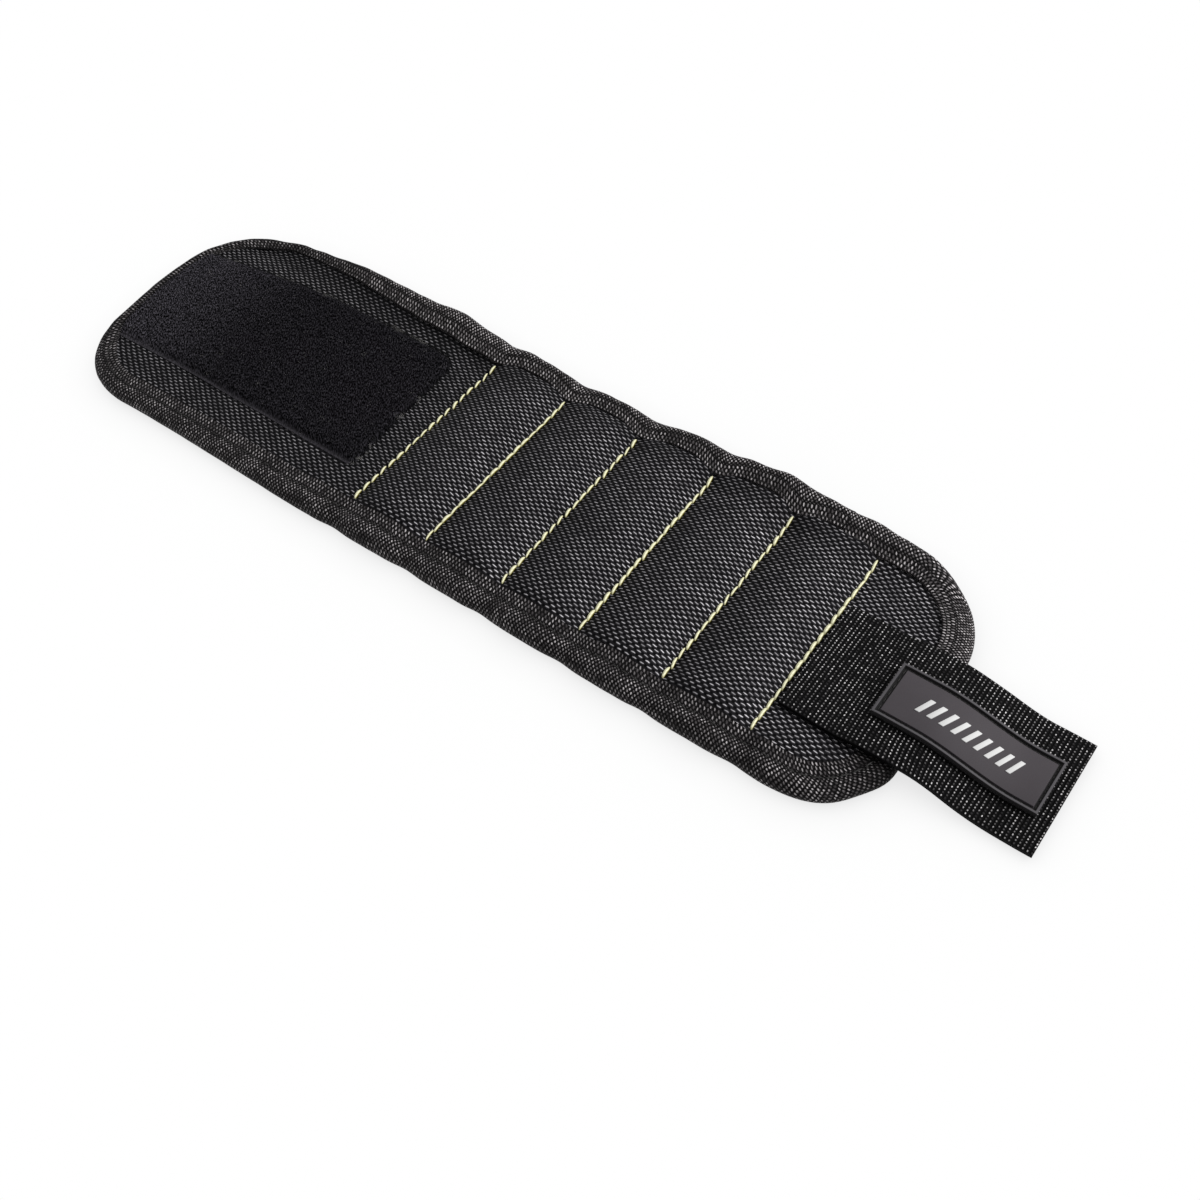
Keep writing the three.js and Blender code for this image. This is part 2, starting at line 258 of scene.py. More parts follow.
def weave(finish, u, v, zone):
    # how far a float of yarn stands up, how deep the pit at its ends is, and the painted highlight along its
    # crest
    placeU, placeV, column, row = yarnCells(u + v * zone["slant"], v, zone["cell"], zone["stagger"])
    over = dome(placeU, placeV, zone["float"])
    pit = dome(placeU.op("ABSOLUTE") - zone["cell"][0] / 2, placeV, zone["pit"])
    # the painted highlight is a narrow streak on each float, shifted by crest towards the side that faces
    # the lamp
    crest = dome(placeU, placeV - zone["crest"], zone["gleam"]).band(*woven["crestBand"])
    gleam = crest * (1 - finish.chance(column, row) * zone["lustre"]).op("POWER", zone["spread"])
    return over * zone["shine"], pit, gleam * zone["shine"]


def wovenFinish(name, look):
    # grey floats of yarn with a painted highlight along the crest over a dark ground, and black pits between
    # the ends of the floats
    finish = Finish(name)
    cloth = finish.clothMap()
    along, across = finish.parts(cloth)
    u = along + (finish.grain(cloth, look["wanderScale"]) - 0.5) * look["wander"]
    v = across + (finish.grain(cloth, look["wanderScale"] * woven["acrossScale"]) - 0.5) * look["wander"]
    # painted shade in broad random patches, times the painted light and shade that the finish sets by place
    light = 1 - finish.grain(cloth, look["shadeScale"], 3).band(*woven["shadeBand"]) * look["shade"]
    if "light" in look:
        light = light * look["light"](along, across)
    over, pit, gleam = weave(finish, u, v, look["zones"][0])
    if "border" in look:
        # past its own edge the tape is woven finer
        past = v.band(*look["border"])
        second = weave(finish, u, v, look["zones"][1])
        over, pit, gleam = [a + (b - a) * past for a, b in zip((over, pit, gleam), second)]
    # specks add random spots of painted highlight
    if "specks" in look:
        scale, share = look["specks"]
        gleam = gleam.above(finish.grain(cloth, scale, 1).band(*woven["speckBand"]) * share)
    body = finish.mix(over.band(*look["lit"]), look["ground"], look["body"])
    colour = finish.mix(gleam, finish.mix(pit, body, look["gap"]), look["yarn"])
    fibre = finish.grain(cloth, woven["fibreScale"], 1) * look["fibre"]
    finish.bump(over - pit * woven["pitDepth"] + fibre, look["bump"], look["depth"])
    return finish.put(Base_Color=finish.mix(light, look["gap"], colour), Roughness=look["roughness"],
                      Specular_IOR_Level=look["specular"])


# Shapes

def newShape():
    bm = bmesh.new()
    bm.verts.layers.float.new("run")
    bm.verts.layers.float.new("across")
    return bm


def layersOf(bm):
    return bm.verts.layers.float["run"], bm.verts.layers.float["across"]


def mapFlat(bm):
    run, across = layersOf(bm)
    for vert in bm.verts:
        vert[run], vert[across] = vert.co.x, vert.co.y


def flatGrid(columns, rows, placeOf):
    # a grid whose points lie where placeOf says, from their shares along and across
    bm = newShape()
    bmesh.ops.create_grid(bm, x_segments=columns, y_segments=rows, size=0.5)
    for vert in bm.verts:
        vert.co = placeOf(vert.co.x + 0.5, vert.co.y + 0.5)
    mapFlat(bm)
    return bm


def kindOf(made, kind):
    # those results of an operator that are of one kind
    return [part for part in made if isinstance(part, kind)]


def bentStem(sides, radius, moves):
    # a thin stem drawn out from its foot, one move after another
    bm = newShape()
    bmesh.ops.create_circle(bm, cap_ends=True, segments=sides, radius=radius)
    tip = bm.faces[:]
    for move in moves:
        made = bmesh.ops.extrude_face_region(bm, geom=tip)["geom"]
        tip = kindOf(made, bmesh.types.BMFace)
        bmesh.ops.translate(bm, vec=move, verts=kindOf(made, bmesh.types.BMVert))
    bmesh.ops.recalc_face_normals(bm, faces=bm.faces[:])
    return bm


def rise(value, low, high):
    share = min(1.0, max(0.0, (value - low) / (high - low)))
    return share * share * (3 - 2 * share)


def lerp(a, b, share):
    return a + (b - a) * share


# How the band lies: its far edge waves up off the table, its ends are pushed about and its seams draw the
# edges in
lie = {
    "waves": ((56, 16, 3.3), (77, 12, 2.7), (95, 11, 4.4), (118, 18, 2.4), (160, 22, 1.0),
              (198, 17, 3.3), (226, 16, 5.8), (254, 13, 4.8), (272, 9, 1.5)),  # middle, half length, height
    "waveFrom": 28,
    "waveTo": 49,
    "flare": 0.22,
    "pushes": (
        ((0, 5), (45, 22), (-3.1, 0)),
        ((17, 45), (12, 12), (0, -1.4)),
        ((9, -38), (17, 16), (-0.8, -1.3)),
        ((105, -47), (38, 14), (0, -1.0)),
        ((215, -47), (75, 14), (0, -1.0)),
        ((283, -38), (10, 12), (1.1, -1.2)),
        ((297, -27), (9, 7), (1.6, 0)),
    ),  # middle, reach and way
    "pinch": 0.6,
    "pinchReach": 4.5,
    "pinchFrom": 30,
    "sewnOff": (-0.7, -0.75, -0.9, -0.95, -0.75, -0.25),  # how far off its fold line each seam was sewn
}
sewnX = [x + off for x, off in zip(seamX, lie["sewnOff"])]


def bell(*offsets):
    return math.exp(-sum(offset * offset for offset in offsets))


def drawnIn(x, reach=lie["pinchReach"]):
    return max(bell((x - seam) / reach) for seam in sewnX)


def farLift(x, y):
    lift = sum(height * bell((x - middle) / half) for middle, half, height in lie["waves"])
    return lift * rise(y, lie["waveFrom"], lie["waveTo"])


def settle(bm):
    for vert in bm.verts:
        x, y = vert.co.x, vert.co.y
        lift = farLift(x, y)
        inward = lie["pinch"] * drawnIn(x) * rise(abs(y), lie["pinchFrom"], halfWidth)
        move = Vector((0, lift * lie["flare"] - math.copysign(inward, y), lift))
        for place, reach, way in lie["pushes"]:
            move += Vector((*way, 0)) * bell((x - place[0]) / reach[0], (y - place[1]) / reach[1])
        vert.co += move


def joinInto(bm, other, slot):
    for face in other.faces:
        face.material_index = slot
    spare = bpy.data.meshes.new("spare")
    other.to_mesh(spare)
    other.free()
    bm.from_mesh(spare)
    bpy.data.meshes.remove(spare)


def copies(bm, matrices):
    # the shape in bm, once for each matrix
    pattern = bpy.data.meshes.new("pattern")
    bm.to_mesh(pattern)
    bm.free()
    made = newShape()
    for matrix in matrices:
        one = pattern.copy()
        one.transform(matrix)
        made.from_mesh(one)
        bpy.data.meshes.remove(one)
    bpy.data.meshes.remove(pattern)
    return made


def makePiece(bm, name, finishes, sharp=40):
    settle(bm)
    run, across = layersOf(bm)
    cloth = bm.loops.layers.uv.new("cloth")
    bm.normal_update()
    for face in bm.faces:
        face.smooth = True
        for loop in face.loops:
            loop[cloth].uv = (loop.vert[run], loop.vert[across])
    for edge in bm.edges:
        edge.smooth = edge.calc_face_angle(0) < math.radians(sharp)
    toFrame = Matrix.Translation((bandStart, 0, 0)) @ Matrix.Scale(mm, 4)
    bmesh.ops.transform(bm, matrix=toFrame, verts=bm.verts)
    mesh = bpy.data.meshes.new(name)
    bm.to_mesh(mesh)
    bm.free()
    piece = bpy.data.objects.new(name, mesh)
    scene.collection.objects.link(piece)
    for finish in finishes:
        mesh.materials.append(finish)
    return piece


bendReach = {"loop": 12, "seam": 6.3}  # how far from its line a fold takes hold


def crossFold(piece, number):
    joint = folds[number]
    x = foldX[number]
    reach = bendReach[joint["name"].split("_")[0]]
    points = [(bandStart + (x + side * reach) * mm, 0, 0) for side in (-1, 1)]
    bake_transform(piece, joint["parent"], joint["child"], start=points[0], end=points[1])


def nodesUnder(layer, number):
    bodies = [folds[number]["child"]]
    if number == 0:
        bodies.insert(0, folds[0]["parent"])
    return [f"{layer}_{body}" for body in bodies]


def thicken(bm, heightOf):
    # closes a sheet downwards, to the height of its other side
    made = bmesh.ops.extrude_face_region(bm, geom=bm.faces[:])["geom"]
    for vert in kindOf(made, bmesh.types.BMVert):
        vert.co.z = heightOf(vert)
    bmesh.ops.recalc_face_normals(bm, faces=bm.faces[:])


def strips(bm):
    # one copy of the sheet for each fold, cut down to its stretch
    for number, (low, high) in enumerate(zip(cuts, cuts[1:])):
        part = bm.copy()
        run = layersOf(part)[0]
        outside = [
            face for face in part.faces
            if not low < sum(vert[run] for vert in face.verts) / len(face.verts) < high
        ]
        bmesh.ops.delete(part, geom=outside, context="FACES")
        yield number, part
    bm.free()


outline = {"corner": 28, "step": 1.4}


def endBack(y, inset):
    # how far the rounded end stands back at this distance off the middle line
    past = max(0, abs(y) - (halfWidth - outline["corner"]))
    return outline["corner"] - math.sqrt(max(0, (outline["corner"] - inset) ** 2 - past ** 2))


def insideEnds(x, y, inset):
    back = endBack(y, inset)
    if x < cuts[1]:
        return lerp(back, cuts[1], x / cuts[1])
    if x > foldX[-1]:
        return lerp(foldX[-1], bodyLength - back, (x - foldX[-1]) / (bodyLength - foldX[-1]))
    return x


def bodyColumns():
    # every seam has a column of points on it
    lines = [0.0, cuts[1]] + sewnX + [bodyLength]
    columns = [0.0]
    for low, high in zip(lines, lines[1:]):
        count = round((high - low) / outline["step"])
        columns += [lerp(low, high, step / count) for step in range(1, count + 1)]
    return columns


def bodySheet(inset, rows):
    columns = bodyColumns()

    def placeOf(along, across):
        x = columns[round(along * (len(columns) - 1))]
        y = 2 * (across - 0.5) * (halfWidth - inset)
        return insideEnds(x, y, inset), y, 0

    return flatGrid(len(columns) - 1, rows, placeOf)


# Face cloth, blown up over the magnets between its seams

faceCloth = {
    "hem": 2.2,
    "rows": 84,
    "thickness": 0.9,
    "power": 2.8,
    "edgeRoll": 6,
    "lap": (1.6, 2.4),  # how far the pillow swells past the binding's near and far inner edge
    "pressure": 60,
    "swellCap": 0.5,
    "looseFrom": 0.05,  # height of the pillow past which the cloth isn't sewn down
    "simScale": 0.01,
    "frames": 20,
    "edgeFade": 3,
    "pucker": 0.5,
    "puckerReach": 2.2,
    "needle": 0.65,  # share of the pucker that comes and goes with each stitch
    "stitch": 3.83,
    "gutter": 0.5,  # along the binding of the loop end
    "gutterReach": 3,
    "gutterFade": 12,
    "uneven": 0.3,
    "unevenSize": (17, 13),
}
bindingWidth = 9.5
pillowHalf = halfWidth - bindingWidth
crown = bandBox("face_pocket_1")[1].z - faceTop


def pillow(x, y):
    for low, high in zip(sewnX, sewnX[1:]):
        if low <= x <= high:
            along = 1 - abs(2 * (x - low) / (high - low) - 1) ** faceCloth["power"]
            lap = faceCloth["lap"][y > 0]
            inside = min(1, max(0, (pillowHalf + lap - abs(y)) / faceCloth["edgeRoll"]))
            return crown * along * math.sin(inside * math.pi / 2)
    return 0


def inflate(bm, loose):
    # cloth simulation with everything that is sewn down held still
    bm.verts.index_update()
    mesh = bpy.data.meshes.new("trial")
    bm.to_mesh(mesh)
    mesh.transform(Matrix.Scale(faceCloth["simScale"], 4))
    trial = bpy.data.objects.new("trial", mesh)
    scene.collection.objects.link(trial)
    sewn = trial.vertex_groups.new(name="sewn")
    sewn.add([vert.index for vert in bm.verts if not loose(vert.co)], 1.0, "REPLACE")
    cloth = trial.modifiers.new("cloth", "CLOTH")
    cloth.settings.vertex_group_mass = "sewn"
    cloth.settings.use_pressure = True
    cloth.settings.uniform_pressure_force = faceCloth["pressure"]
    cloth.settings.effector_weights.gravity = 0
    cloth.point_cache.frame_end = faceCloth["frames"]
    for number in range(1, faceCloth["frames"] + 1):
        scene.frame_set(number)
    blown = trial.evaluated_get(bpy.context.evaluated_depsgraph_get()).to_mesh()
    for vert, moved in zip(bm.verts, blown.vertices):
        change = moved.co / faceCloth["simScale"] - vert.co
        if change.length > faceCloth["swellCap"]:
            change.length = faceCloth["swellCap"]
        vert.co += change
    bpy.data.objects.remove(trial)
    bpy.data.meshes.remove(mesh)
    scene.frame_set(1)


def faceSheet():
    bm = bodySheet(faceCloth["hem"], faceCloth["rows"])
    for vert in bm.verts:
        vert.co.z = faceTop + pillow(vert.co.x, vert.co.y)
    inflate(bm, lambda co: pillow(co.x, co.y) > faceCloth["looseFrom"])
    for vert in bm.verts:
        x, y = vert.co.x, vert.co.y
        inside = rise(pillowHalf - abs(y), 0, faceCloth["edgeFade"])
        needle = 0.5 + 0.5 * math.cos(2 * math.pi * y / faceCloth["stitch"])
        drawn = drawnIn(x, faceCloth["puckerReach"]) * lerp(1, needle, faceCloth["needle"])
        vert.co.z -= faceCloth["pucker"] * drawn * inside
        place = Vector((x / faceCloth["unevenSize"][0], y / faceCloth["unevenSize"][1], 4.2))
        vert.co.z += faceCloth["uneven"] * noise.noise(place) * inside
        atLoop = 1 - rise(x, seamX[0] - faceCloth["gutterFade"], seamX[0])
        vert.co.z -= faceCloth["gutter"] * bell((y - pillowHalf) / faceCloth["gutterReach"]) * atLoop
    return bm


def makeFace(finish):
    for number, bm in strips(faceSheet()):
        area = sum(part.calc_area() for part in bm.faces)
        thicken(bm, lambda vert: vert.co.z - faceCloth["thickness"])
        piece = makePiece(bm, f"face_over_{folds[number]['name']}", [finish])
        length = cuts[number + 1] - cuts[number]
        width = 2 * (halfWidth - faceCloth["hem"])
        flat = min(area, length * width)
        length * mm
        flat * mm * mm
        crossFold(piece, number)
        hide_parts(*nodesUnder("face", number))
    print("face cloth done")


# Lining, a padded mesh quilted by the same seams

lining = {
    "inset": 4,
    "rows": 44,
    "top": 4.2,
    "leafHeight": 1.0,
    "roll": 5,
    "channel": 1.5,
    "channelReach": 2.4,
    "uneven": 0.12,
    "unevenSize": 11,
    "mesh": (2.6, 1.5),
    "hole": (0.78, 0.51),
}


def liningBottom(x, y):
    # lies on the table, and rises to the binding's lower leaf and into the channel of each seam
    roll, corner = lining["roll"], outline["corner"]
    past = math.hypot(max(0, abs(y) - (halfWidth - corner)), max(0, corner - x, x - (bodyLength - corner)))
    atEdge = max(
        rise(abs(y), pillowHalf - roll, pillowHalf - 0.3),
        rise(bindingWidth + roll - x, 0, roll),
        rise(x - (bodyLength - bindingWidth - roll), 0, roll),
        rise(past, corner - bindingWidth - roll, corner - bindingWidth),
    )
    low = max(lining["leafHeight"] * atEdge, lining["channel"] * drawnIn(x, lining["channelReach"]))
    place = Vector((x / lining["unevenSize"], y / lining["unevenSize"], 8.1))
    return low + lining["uneven"] * (1 + noise.noise(place)) * (1 - atEdge)


def makeLining(finish):
    bm = bodySheet(lining["inset"], lining["rows"])
    for vert in bm.verts:
        vert.co.z = liningBottom(vert.co.x, vert.co.y)
    for number, part in strips(bm):
        thicken(part, lambda vert: lining["top"])
        piece = makePiece(part, f"lining_over_{folds[number]['name']}", [finish])
        crossFold(piece, number)
        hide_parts(*nodesUnder("lining", number))
    print("lining done")


# Binding tape folded round the edge, sewn down along its inner edge

binding = {
    "width": bindingWidth,
    "thickness": 0.8,
    "roll": 3.4,
    "height": 6.45,
    "flange": ((0, -0.35), (0.6, -0.28), (1.3, -0.46), (2.1, -0.26), (4, 0)),  # back from its edge, and dip
    "underPoint": 1.5,
    "underThin": 0.05,
    "swell": 0.55,
    "swellReach": 6,
    "swellFade": 20,
    "sewnAt": 8.2,
    "nearShift": 2.9,  # how much further in the near side is sewn down
    "shiftFrom": (0, 0.6),  # back from its inner edge
    "shiftTo": (2.1, 6.1),
    "loopFade": (24, 34),  # off the middle line, where the shift sets in
    "strapFade": (6, 16),
    "nearRide": 1.2,
    "rideAcross": (-6, 0),
    "rideUp": (4, 5),
    "scallop": 2.3,
    "narrowing": 5.4,
    "narrowAcross": (-62, -4),
    "narrowAlong": (8, 115),
    "cornerShow": 2.0,
    "cornerPlace": (10, 42),
    "cornerReach": (12, 14),
    "ripple": 0.3,
    "rippleUp": (0.5, 4),
    "rippleSize": (5, 6, 9),  # of its rise, and of its sway along and up
    "askew": 1.1,
    "askewTo": 8,
    "askewPlace": (8, 37),
    "askewReach": 16,
    "strapRun": 400,  # keeps the strap end's length along the tape apart from the rest
    "rollSteps": 12,
    "cornerSteps": 26,
    "stitch": 2.5,
    "stitchPitch": 3.1,
    "stitchRadius": 0.2,
    "stitchSink": 0.36,
    "stitchUnder": 0.17,
    "ringGap": 0.05,
}


def bindingSection():
    # inset from the edge and height, from the sewn top edge round to the bottom one and back inside
    mid = binding["height"] / 2
    thick = binding["thickness"]
    outer = [(binding["width"] - back, binding["height"] + dip) for back, dip in binding["flange"]]
    turns = [math.pi * (0.5 - step / binding["rollSteps"]) for step in range(binding["rollSteps"] + 1)]
    outer += [(binding["roll"] * (1 - math.cos(turn)), mid * (1 + math.sin(turn))) for turn in turns]
    outer += [(binding["width"] / 2 + binding["underPoint"], 0.0), (binding["width"], 0.0)]
    innerRoll = binding["roll"] - thick
    inner = [(binding["width"], thick - binding["underThin"])]
    inner += [(binding["roll"] - innerRoll * math.cos(turn), mid + (mid - thick) * math.sin(turn))
              for turn in reversed(turns[::2])]
    inner += [(outer[0][0], outer[0][1] - thick)]
    return outer, inner


def sectionAt(bm, x):
    outer, inner = bindingSection()
    across = layersOf(bm)[1]
    verts = []
    length = 0.0
    last = None
    for inset, z in outer + inner:
        length += 0 if last is None else math.hypot(inset - last[0], z - last[1])
        vert = bm.verts.new((x, halfWidth - inset, z))
        vert[across] = length
        verts.append(vert)
        last = (inset, z)
    return [bm.edges.new((a, b)) for a, b in zip(verts, verts[1:] + verts[:1])]


def drawOut(bm, edges, move, steps):
    # pulls a section along a straight stretch and gives its last edges
    for _ in range(steps):
        made = bmesh.ops.extrude_edge_only(bm, edges=edges)["geom"]
        verts = kindOf(made, bmesh.types.BMVert)
        fresh = set(verts)
        edges = [part for part in kindOf(made, bmesh.types.BMEdge) if fresh.issuperset(part.verts)]
        bmesh.ops.translate(bm, vec=Vector(move) / steps, verts=verts)
    return edges


def roundCorner(bm, edges, side):
    centre = (outline["corner"], side * (halfWidth - outline["corner"]), 0)
    made = bmesh.ops.spin(
        bm, geom=edges, cent=centre, axis=(0, 0, 1), dvec=(0, 0, 0), angle=math.pi / 2,
        steps=binding["cornerSteps"], use_merge=False, use_normal_flip=False, use_duplicate=False,
    )["geom_last"]
    return kindOf(made, bmesh.types.BMEdge)


def edgeRun(x, y):
    # length along the band's edge from where a corner starts, on the middle of the tape
    side = halfWidth - outline["corner"]
    middle = outline["corner"] - binding["width"] / 2
    if x >= outline["corner"]:
        return x - outline["corner"]
    if abs(y) > side:
        return -middle * math.atan2(outline["corner"] - x, abs(y) - side)
    return -middle * math.pi / 2 - (side - abs(y))


halfway = edgeRun(0, 0)  # the middle of an end


def flangeWidth(x, y):
    # the tape shows least of itself along the far side of the loop end, and a little more on its corner
    narrow = rise(y, *binding["narrowAcross"]) * (1 - rise(x, *binding["narrowAlong"]))
    middle, reach = binding["cornerPlace"], binding["cornerReach"]
    show = bell((x - middle[0]) / reach[0], (y - middle[1]) / reach[1])
    return binding["width"] - binding["narrowing"] * narrow + binding["cornerShow"] * show


def edgePlace(x, y):
    # inset from the loop end's rounded outline, and the way inwards
    side = halfWidth - outline["corner"]
    inward = Vector((0, -math.copysign(1, y), 0))
    if x >= outline["corner"]:
        return halfWidth - abs(y), inward
    if abs(y) <= side:
        return x, Vector((1, 0, 0))
    off = Vector((outline["corner"] - x, math.copysign(side, y) - y, 0))
    return outline["corner"] - off.length, off.normalized()


def betweenSeams(x):
    # 1 where the pillows push hardest against the binding, 0 at the seams and on the flat ends
    if seamX[0] < x < seamX[-1]:
        return 1 - drawnIn(x, binding["swellReach"])
    return 0


def fitFlange(bm, atLoop):
    # narrows the upper leaf round the loop end, and sets its sewn groove further in on the near side
    fade = binding["loopFade"] if atLoop else binding["strapFade"]
    for vert in bm.verts:
        if vert.co.z > binding["height"] / 2:
            inset, inward = edgePlace(vert.co.x, vert.co.y)
            back = binding["width"] - inset
            shift = rise(back, *binding["shiftFrom"]) * (1 - rise(back, *binding["shiftTo"]))
            fitted = inset - binding["nearShift"] * shift * rise(-vert.co.y, *fade)
            if vert.co.y > 0:
                fitted *= 1 - binding["scallop"] * betweenSeams(vert.co.x) / binding["width"]
            if atLoop:
                edge = vert.co - inward * inset
                fitted *= flangeWidth(edge.x, edge.y) / binding["width"]
            vert.co += inward * (fitted - inset)


def measureAcross(bm):
    # length round the fitted tape from the edge of its upper leaf
    run, across = layersOf(bm)
    ordered = sorted(bm.verts, key=lambda vert: vert[run])
    rings = [[ordered[0]]]
    for last, vert in zip(ordered, ordered[1:]):
        if vert[run] - last[run] > binding["ringGap"]:
            rings.append([])
        rings[-1].append(vert)
    for ring in rings:
        ring.sort(key=lambda vert: vert[across])
        length = 0.0
        for last, vert in zip([ring[0]] + ring, ring):
            length += (vert.co - last.co).length
            vert[across] = length


def pullAskew(bm):
    # the weave leans the other way round the far corner of the strap end
    run, across = layersOf(bm)
    x, y = binding["askewPlace"]
    reach = binding["askewReach"]
    for vert in bm.verts:
        lean = binding["askew"] * bell((vert.co.x - x) / reach, (vert.co.y - y) / reach)
        vert[run] += binding["strapRun"] + lean * min(vert[across], binding["askewTo"])


def rippleTape(bm):
    size, along, up = binding["rippleSize"]
    for vert in bm.verts:
        x, y, z = vert.co
        inside = rise(z, *binding["rippleUp"])
        vert.co.z += binding["ripple"] * noise.noise(Vector((x / size, y / size, 7.7))) * inside
        sway = noise.noise(Vector((x / along, z / up, math.copysign(3.3, y))))
        vert.co.y += binding["ripple"] * sway * inside


def closeEnds(bm):
    rims = [part for part in bm.edges if part.is_boundary]
    bmesh.ops.edgeloop_fill(bm, edges=rims)
    bmesh.ops.recalc_face_normals(bm, faces=bm.faces[:])


def markRun(bm, atStrap):
    # the tape runs on round the end from one side to the other without turning back
    run = layersOf(bm)[0]
    for vert in bm.verts:
        length = edgeRun(vert.co.x, vert.co.y)
        vert[run] = length if (vert.co.y < 0) != atStrap else 2 * halfway - length


def threadStitch(length, radius, sides=6, rings=5, taper=0.8, dip=0.5):
    # a stitch along x whose ends dip into the cloth
    bm = newShape()
    bmesh.ops.create_uvsphere(bm, u_segments=sides, v_segments=rings, radius=1)
    run, across = layersOf(bm)
    for vert in bm.verts:
        along = math.copysign(abs(vert.co.z) ** taper, vert.co.z)
        vert[run] = along * length / 2
        vert[across] = math.atan2(vert.co.x, vert.co.y)  # angle off its crest
        vert.co = (along * length / 2, vert.co.x * radius, vert.co.y * radius - dip * radius * along ** 2)
    return bm


def bindingStitches(places):
    # places holds x, y and heading on the sewn line
    bm = threadStitch(binding["stitch"], binding["stitchRadius"])
    leaves = ((binding["height"] - binding["stitchSink"], 0), (binding["stitchUnder"], math.pi))
    return copies(bm, [
        Matrix.Translation((x, y, z)) @ Matrix.Rotation(heading, 4, "Z") @ Matrix.Rotation(flip, 4, "X")
        for x, y, heading in places for z, flip in leaves
    ])


def swellBinding(bm):
    # the tape stands fuller between the seams that hold it down, and its near leaf rides up on the pillows
    fade = binding["swellFade"]
    for vert in bm.verts:
        x, y, z = vert.co
        full = 1 - drawnIn(x, binding["swellReach"])
        full *= rise(x, seamX[0] - fade, seamX[0]) * rise(seamX[-1] + fade - x, 0, fade)
        z += binding["swell"] * full * z / binding["height"]
        leaf = rise(binding["width"] - halfWidth - y, *binding["rideAcross"]) * rise(z, *binding["rideUp"])
        vert.co.z = z + binding["nearRide"] * full * leaf


def straightPlaces(low, high, side):
    count = round((high - low) / binding["stitchPitch"])
    y = side * (halfWidth - binding["sewnAt"])
    return [(lerp(low, high, (step + 0.5) / count), y, 0) for step in range(count)]


def endPlaces(leg):
    places = []
    corner = outline["corner"]
    radius = corner - binding["sewnAt"]
    count = round(radius * math.pi / 2 / binding["stitchPitch"])
    for side in (-1, 1):
        places += straightPlaces(corner, leg, side)
        for step in range(count):
            turn = (step + 0.5) / count * math.pi / 2
            places.append((corner - radius * math.sin(turn),
                           side * (halfWidth - corner + radius * math.cos(turn)), side * turn))
    across = 2 * (halfWidth - corner)
    count = round(across / binding["stitchPitch"])
    for step in range(count):
        places.append((binding["sewnAt"], lerp(-across / 2, across / 2, (step + 0.5) / count), math.pi / 2))
    return places


def sewnTape(bm, places, atLoop):
    markRun(bm, not atLoop)
    stitches = bindingStitches(places)
    fitFlange(bm, atLoop)
    fitFlange(stitches, atLoop)
    measureAcross(bm)
    if not atLoop:
        pullAskew(bm)
    joinInto(bm, stitches, 1)
    return bm


def sideBinding(number, side):
    low, high = cuts[number], cuts[number + 1]
    bm = newShape()
    drawOut(bm, sectionAt(bm, low), (high - low, 0, 0), round((high - low) / outline["step"]))
    bmesh.ops.scale(bm, vec=(1, side, 1), verts=bm.verts)
    closeEnds(bm)
    return sewnTape(bm, straightPlaces(low, high, side), True)


def endBinding(leg, atStrap):
    corner = outline["corner"]
    bm = newShape()
    steps = round((leg - corner) / outline["step"])
    across = 2 * (halfWidth - corner)
    edges = drawOut(bm, sectionAt(bm, leg), (corner - leg, 0, 0), steps)
    edges = roundCorner(bm, edges, 1)
    edges = drawOut(bm, edges, (0, -across, 0), round(across / outline["step"]))
    edges = roundCorner(bm, edges, -1)
    drawOut(bm, edges, (leg - corner, 0, 0), steps)
    closeEnds(bm)
    sewnTape(bm, endPlaces(leg), not atStrap)
    if atStrap:
        for vert in bm.verts:
            vert.co.x = bodyLength - vert.co.x
        bmesh.ops.reverse_faces(bm, faces=bm.faces[:])
    return bm


def makeBinding(tape, thread):
    last = len(folds) - 1
    for number in range(len(folds)):
        fold = folds[number]["name"]
        if number in (0, last):
            leg = cuts[1] if number == 0 else bodyLength - cuts[-2]
            made = {"": endBinding(leg, number == last)}
        else:
            made = {"far_": sideBinding(number, 1), "near_": sideBinding(number, -1)}
        for side, bm in made.items():
            swellBinding(bm)
            rippleTape(bm)
            piece = makePiece(bm, f"binding_{side}over_{fold}", [tape, thread])
            crossFold(piece, number)
            if number == 0:
                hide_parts("binding_loop_1", "binding_far_loop_2", "binding_near_loop_2")
            elif number == last:
                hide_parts("binding_strap_end")
            else:
                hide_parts(f"binding_{side}{folds[number]['child']}")
    print("binding done")


# Seam thread: slanted stitches in the valleys, and their other side on the lining

seamThread = {
    "pitch": faceCloth["stitch"],
    "radius": (0.46, 0.48, 0.5, 0.54, 0.5, 0.57),  # of each seam's thread
    "length": (1.02, 1.2, 1.05, 1.18, 1.12, 1.22),  # of its stitches, as a share of their pitch
    "slant": (0.2, 0.06, 0.18, 0.1, 0.14, 0.06),
    "sides": 8,
    "rings": 9,
    "taper": 0.75,
    "bow": 0.18,
    "lean": 0.1,
    "jog": 0.13,
    "fullness": (0.78, 1.18),
    "height": 0.3,
    "underRadius": 0.3,
    "underLength": 0.9,
    "underLift": 0.1,
}


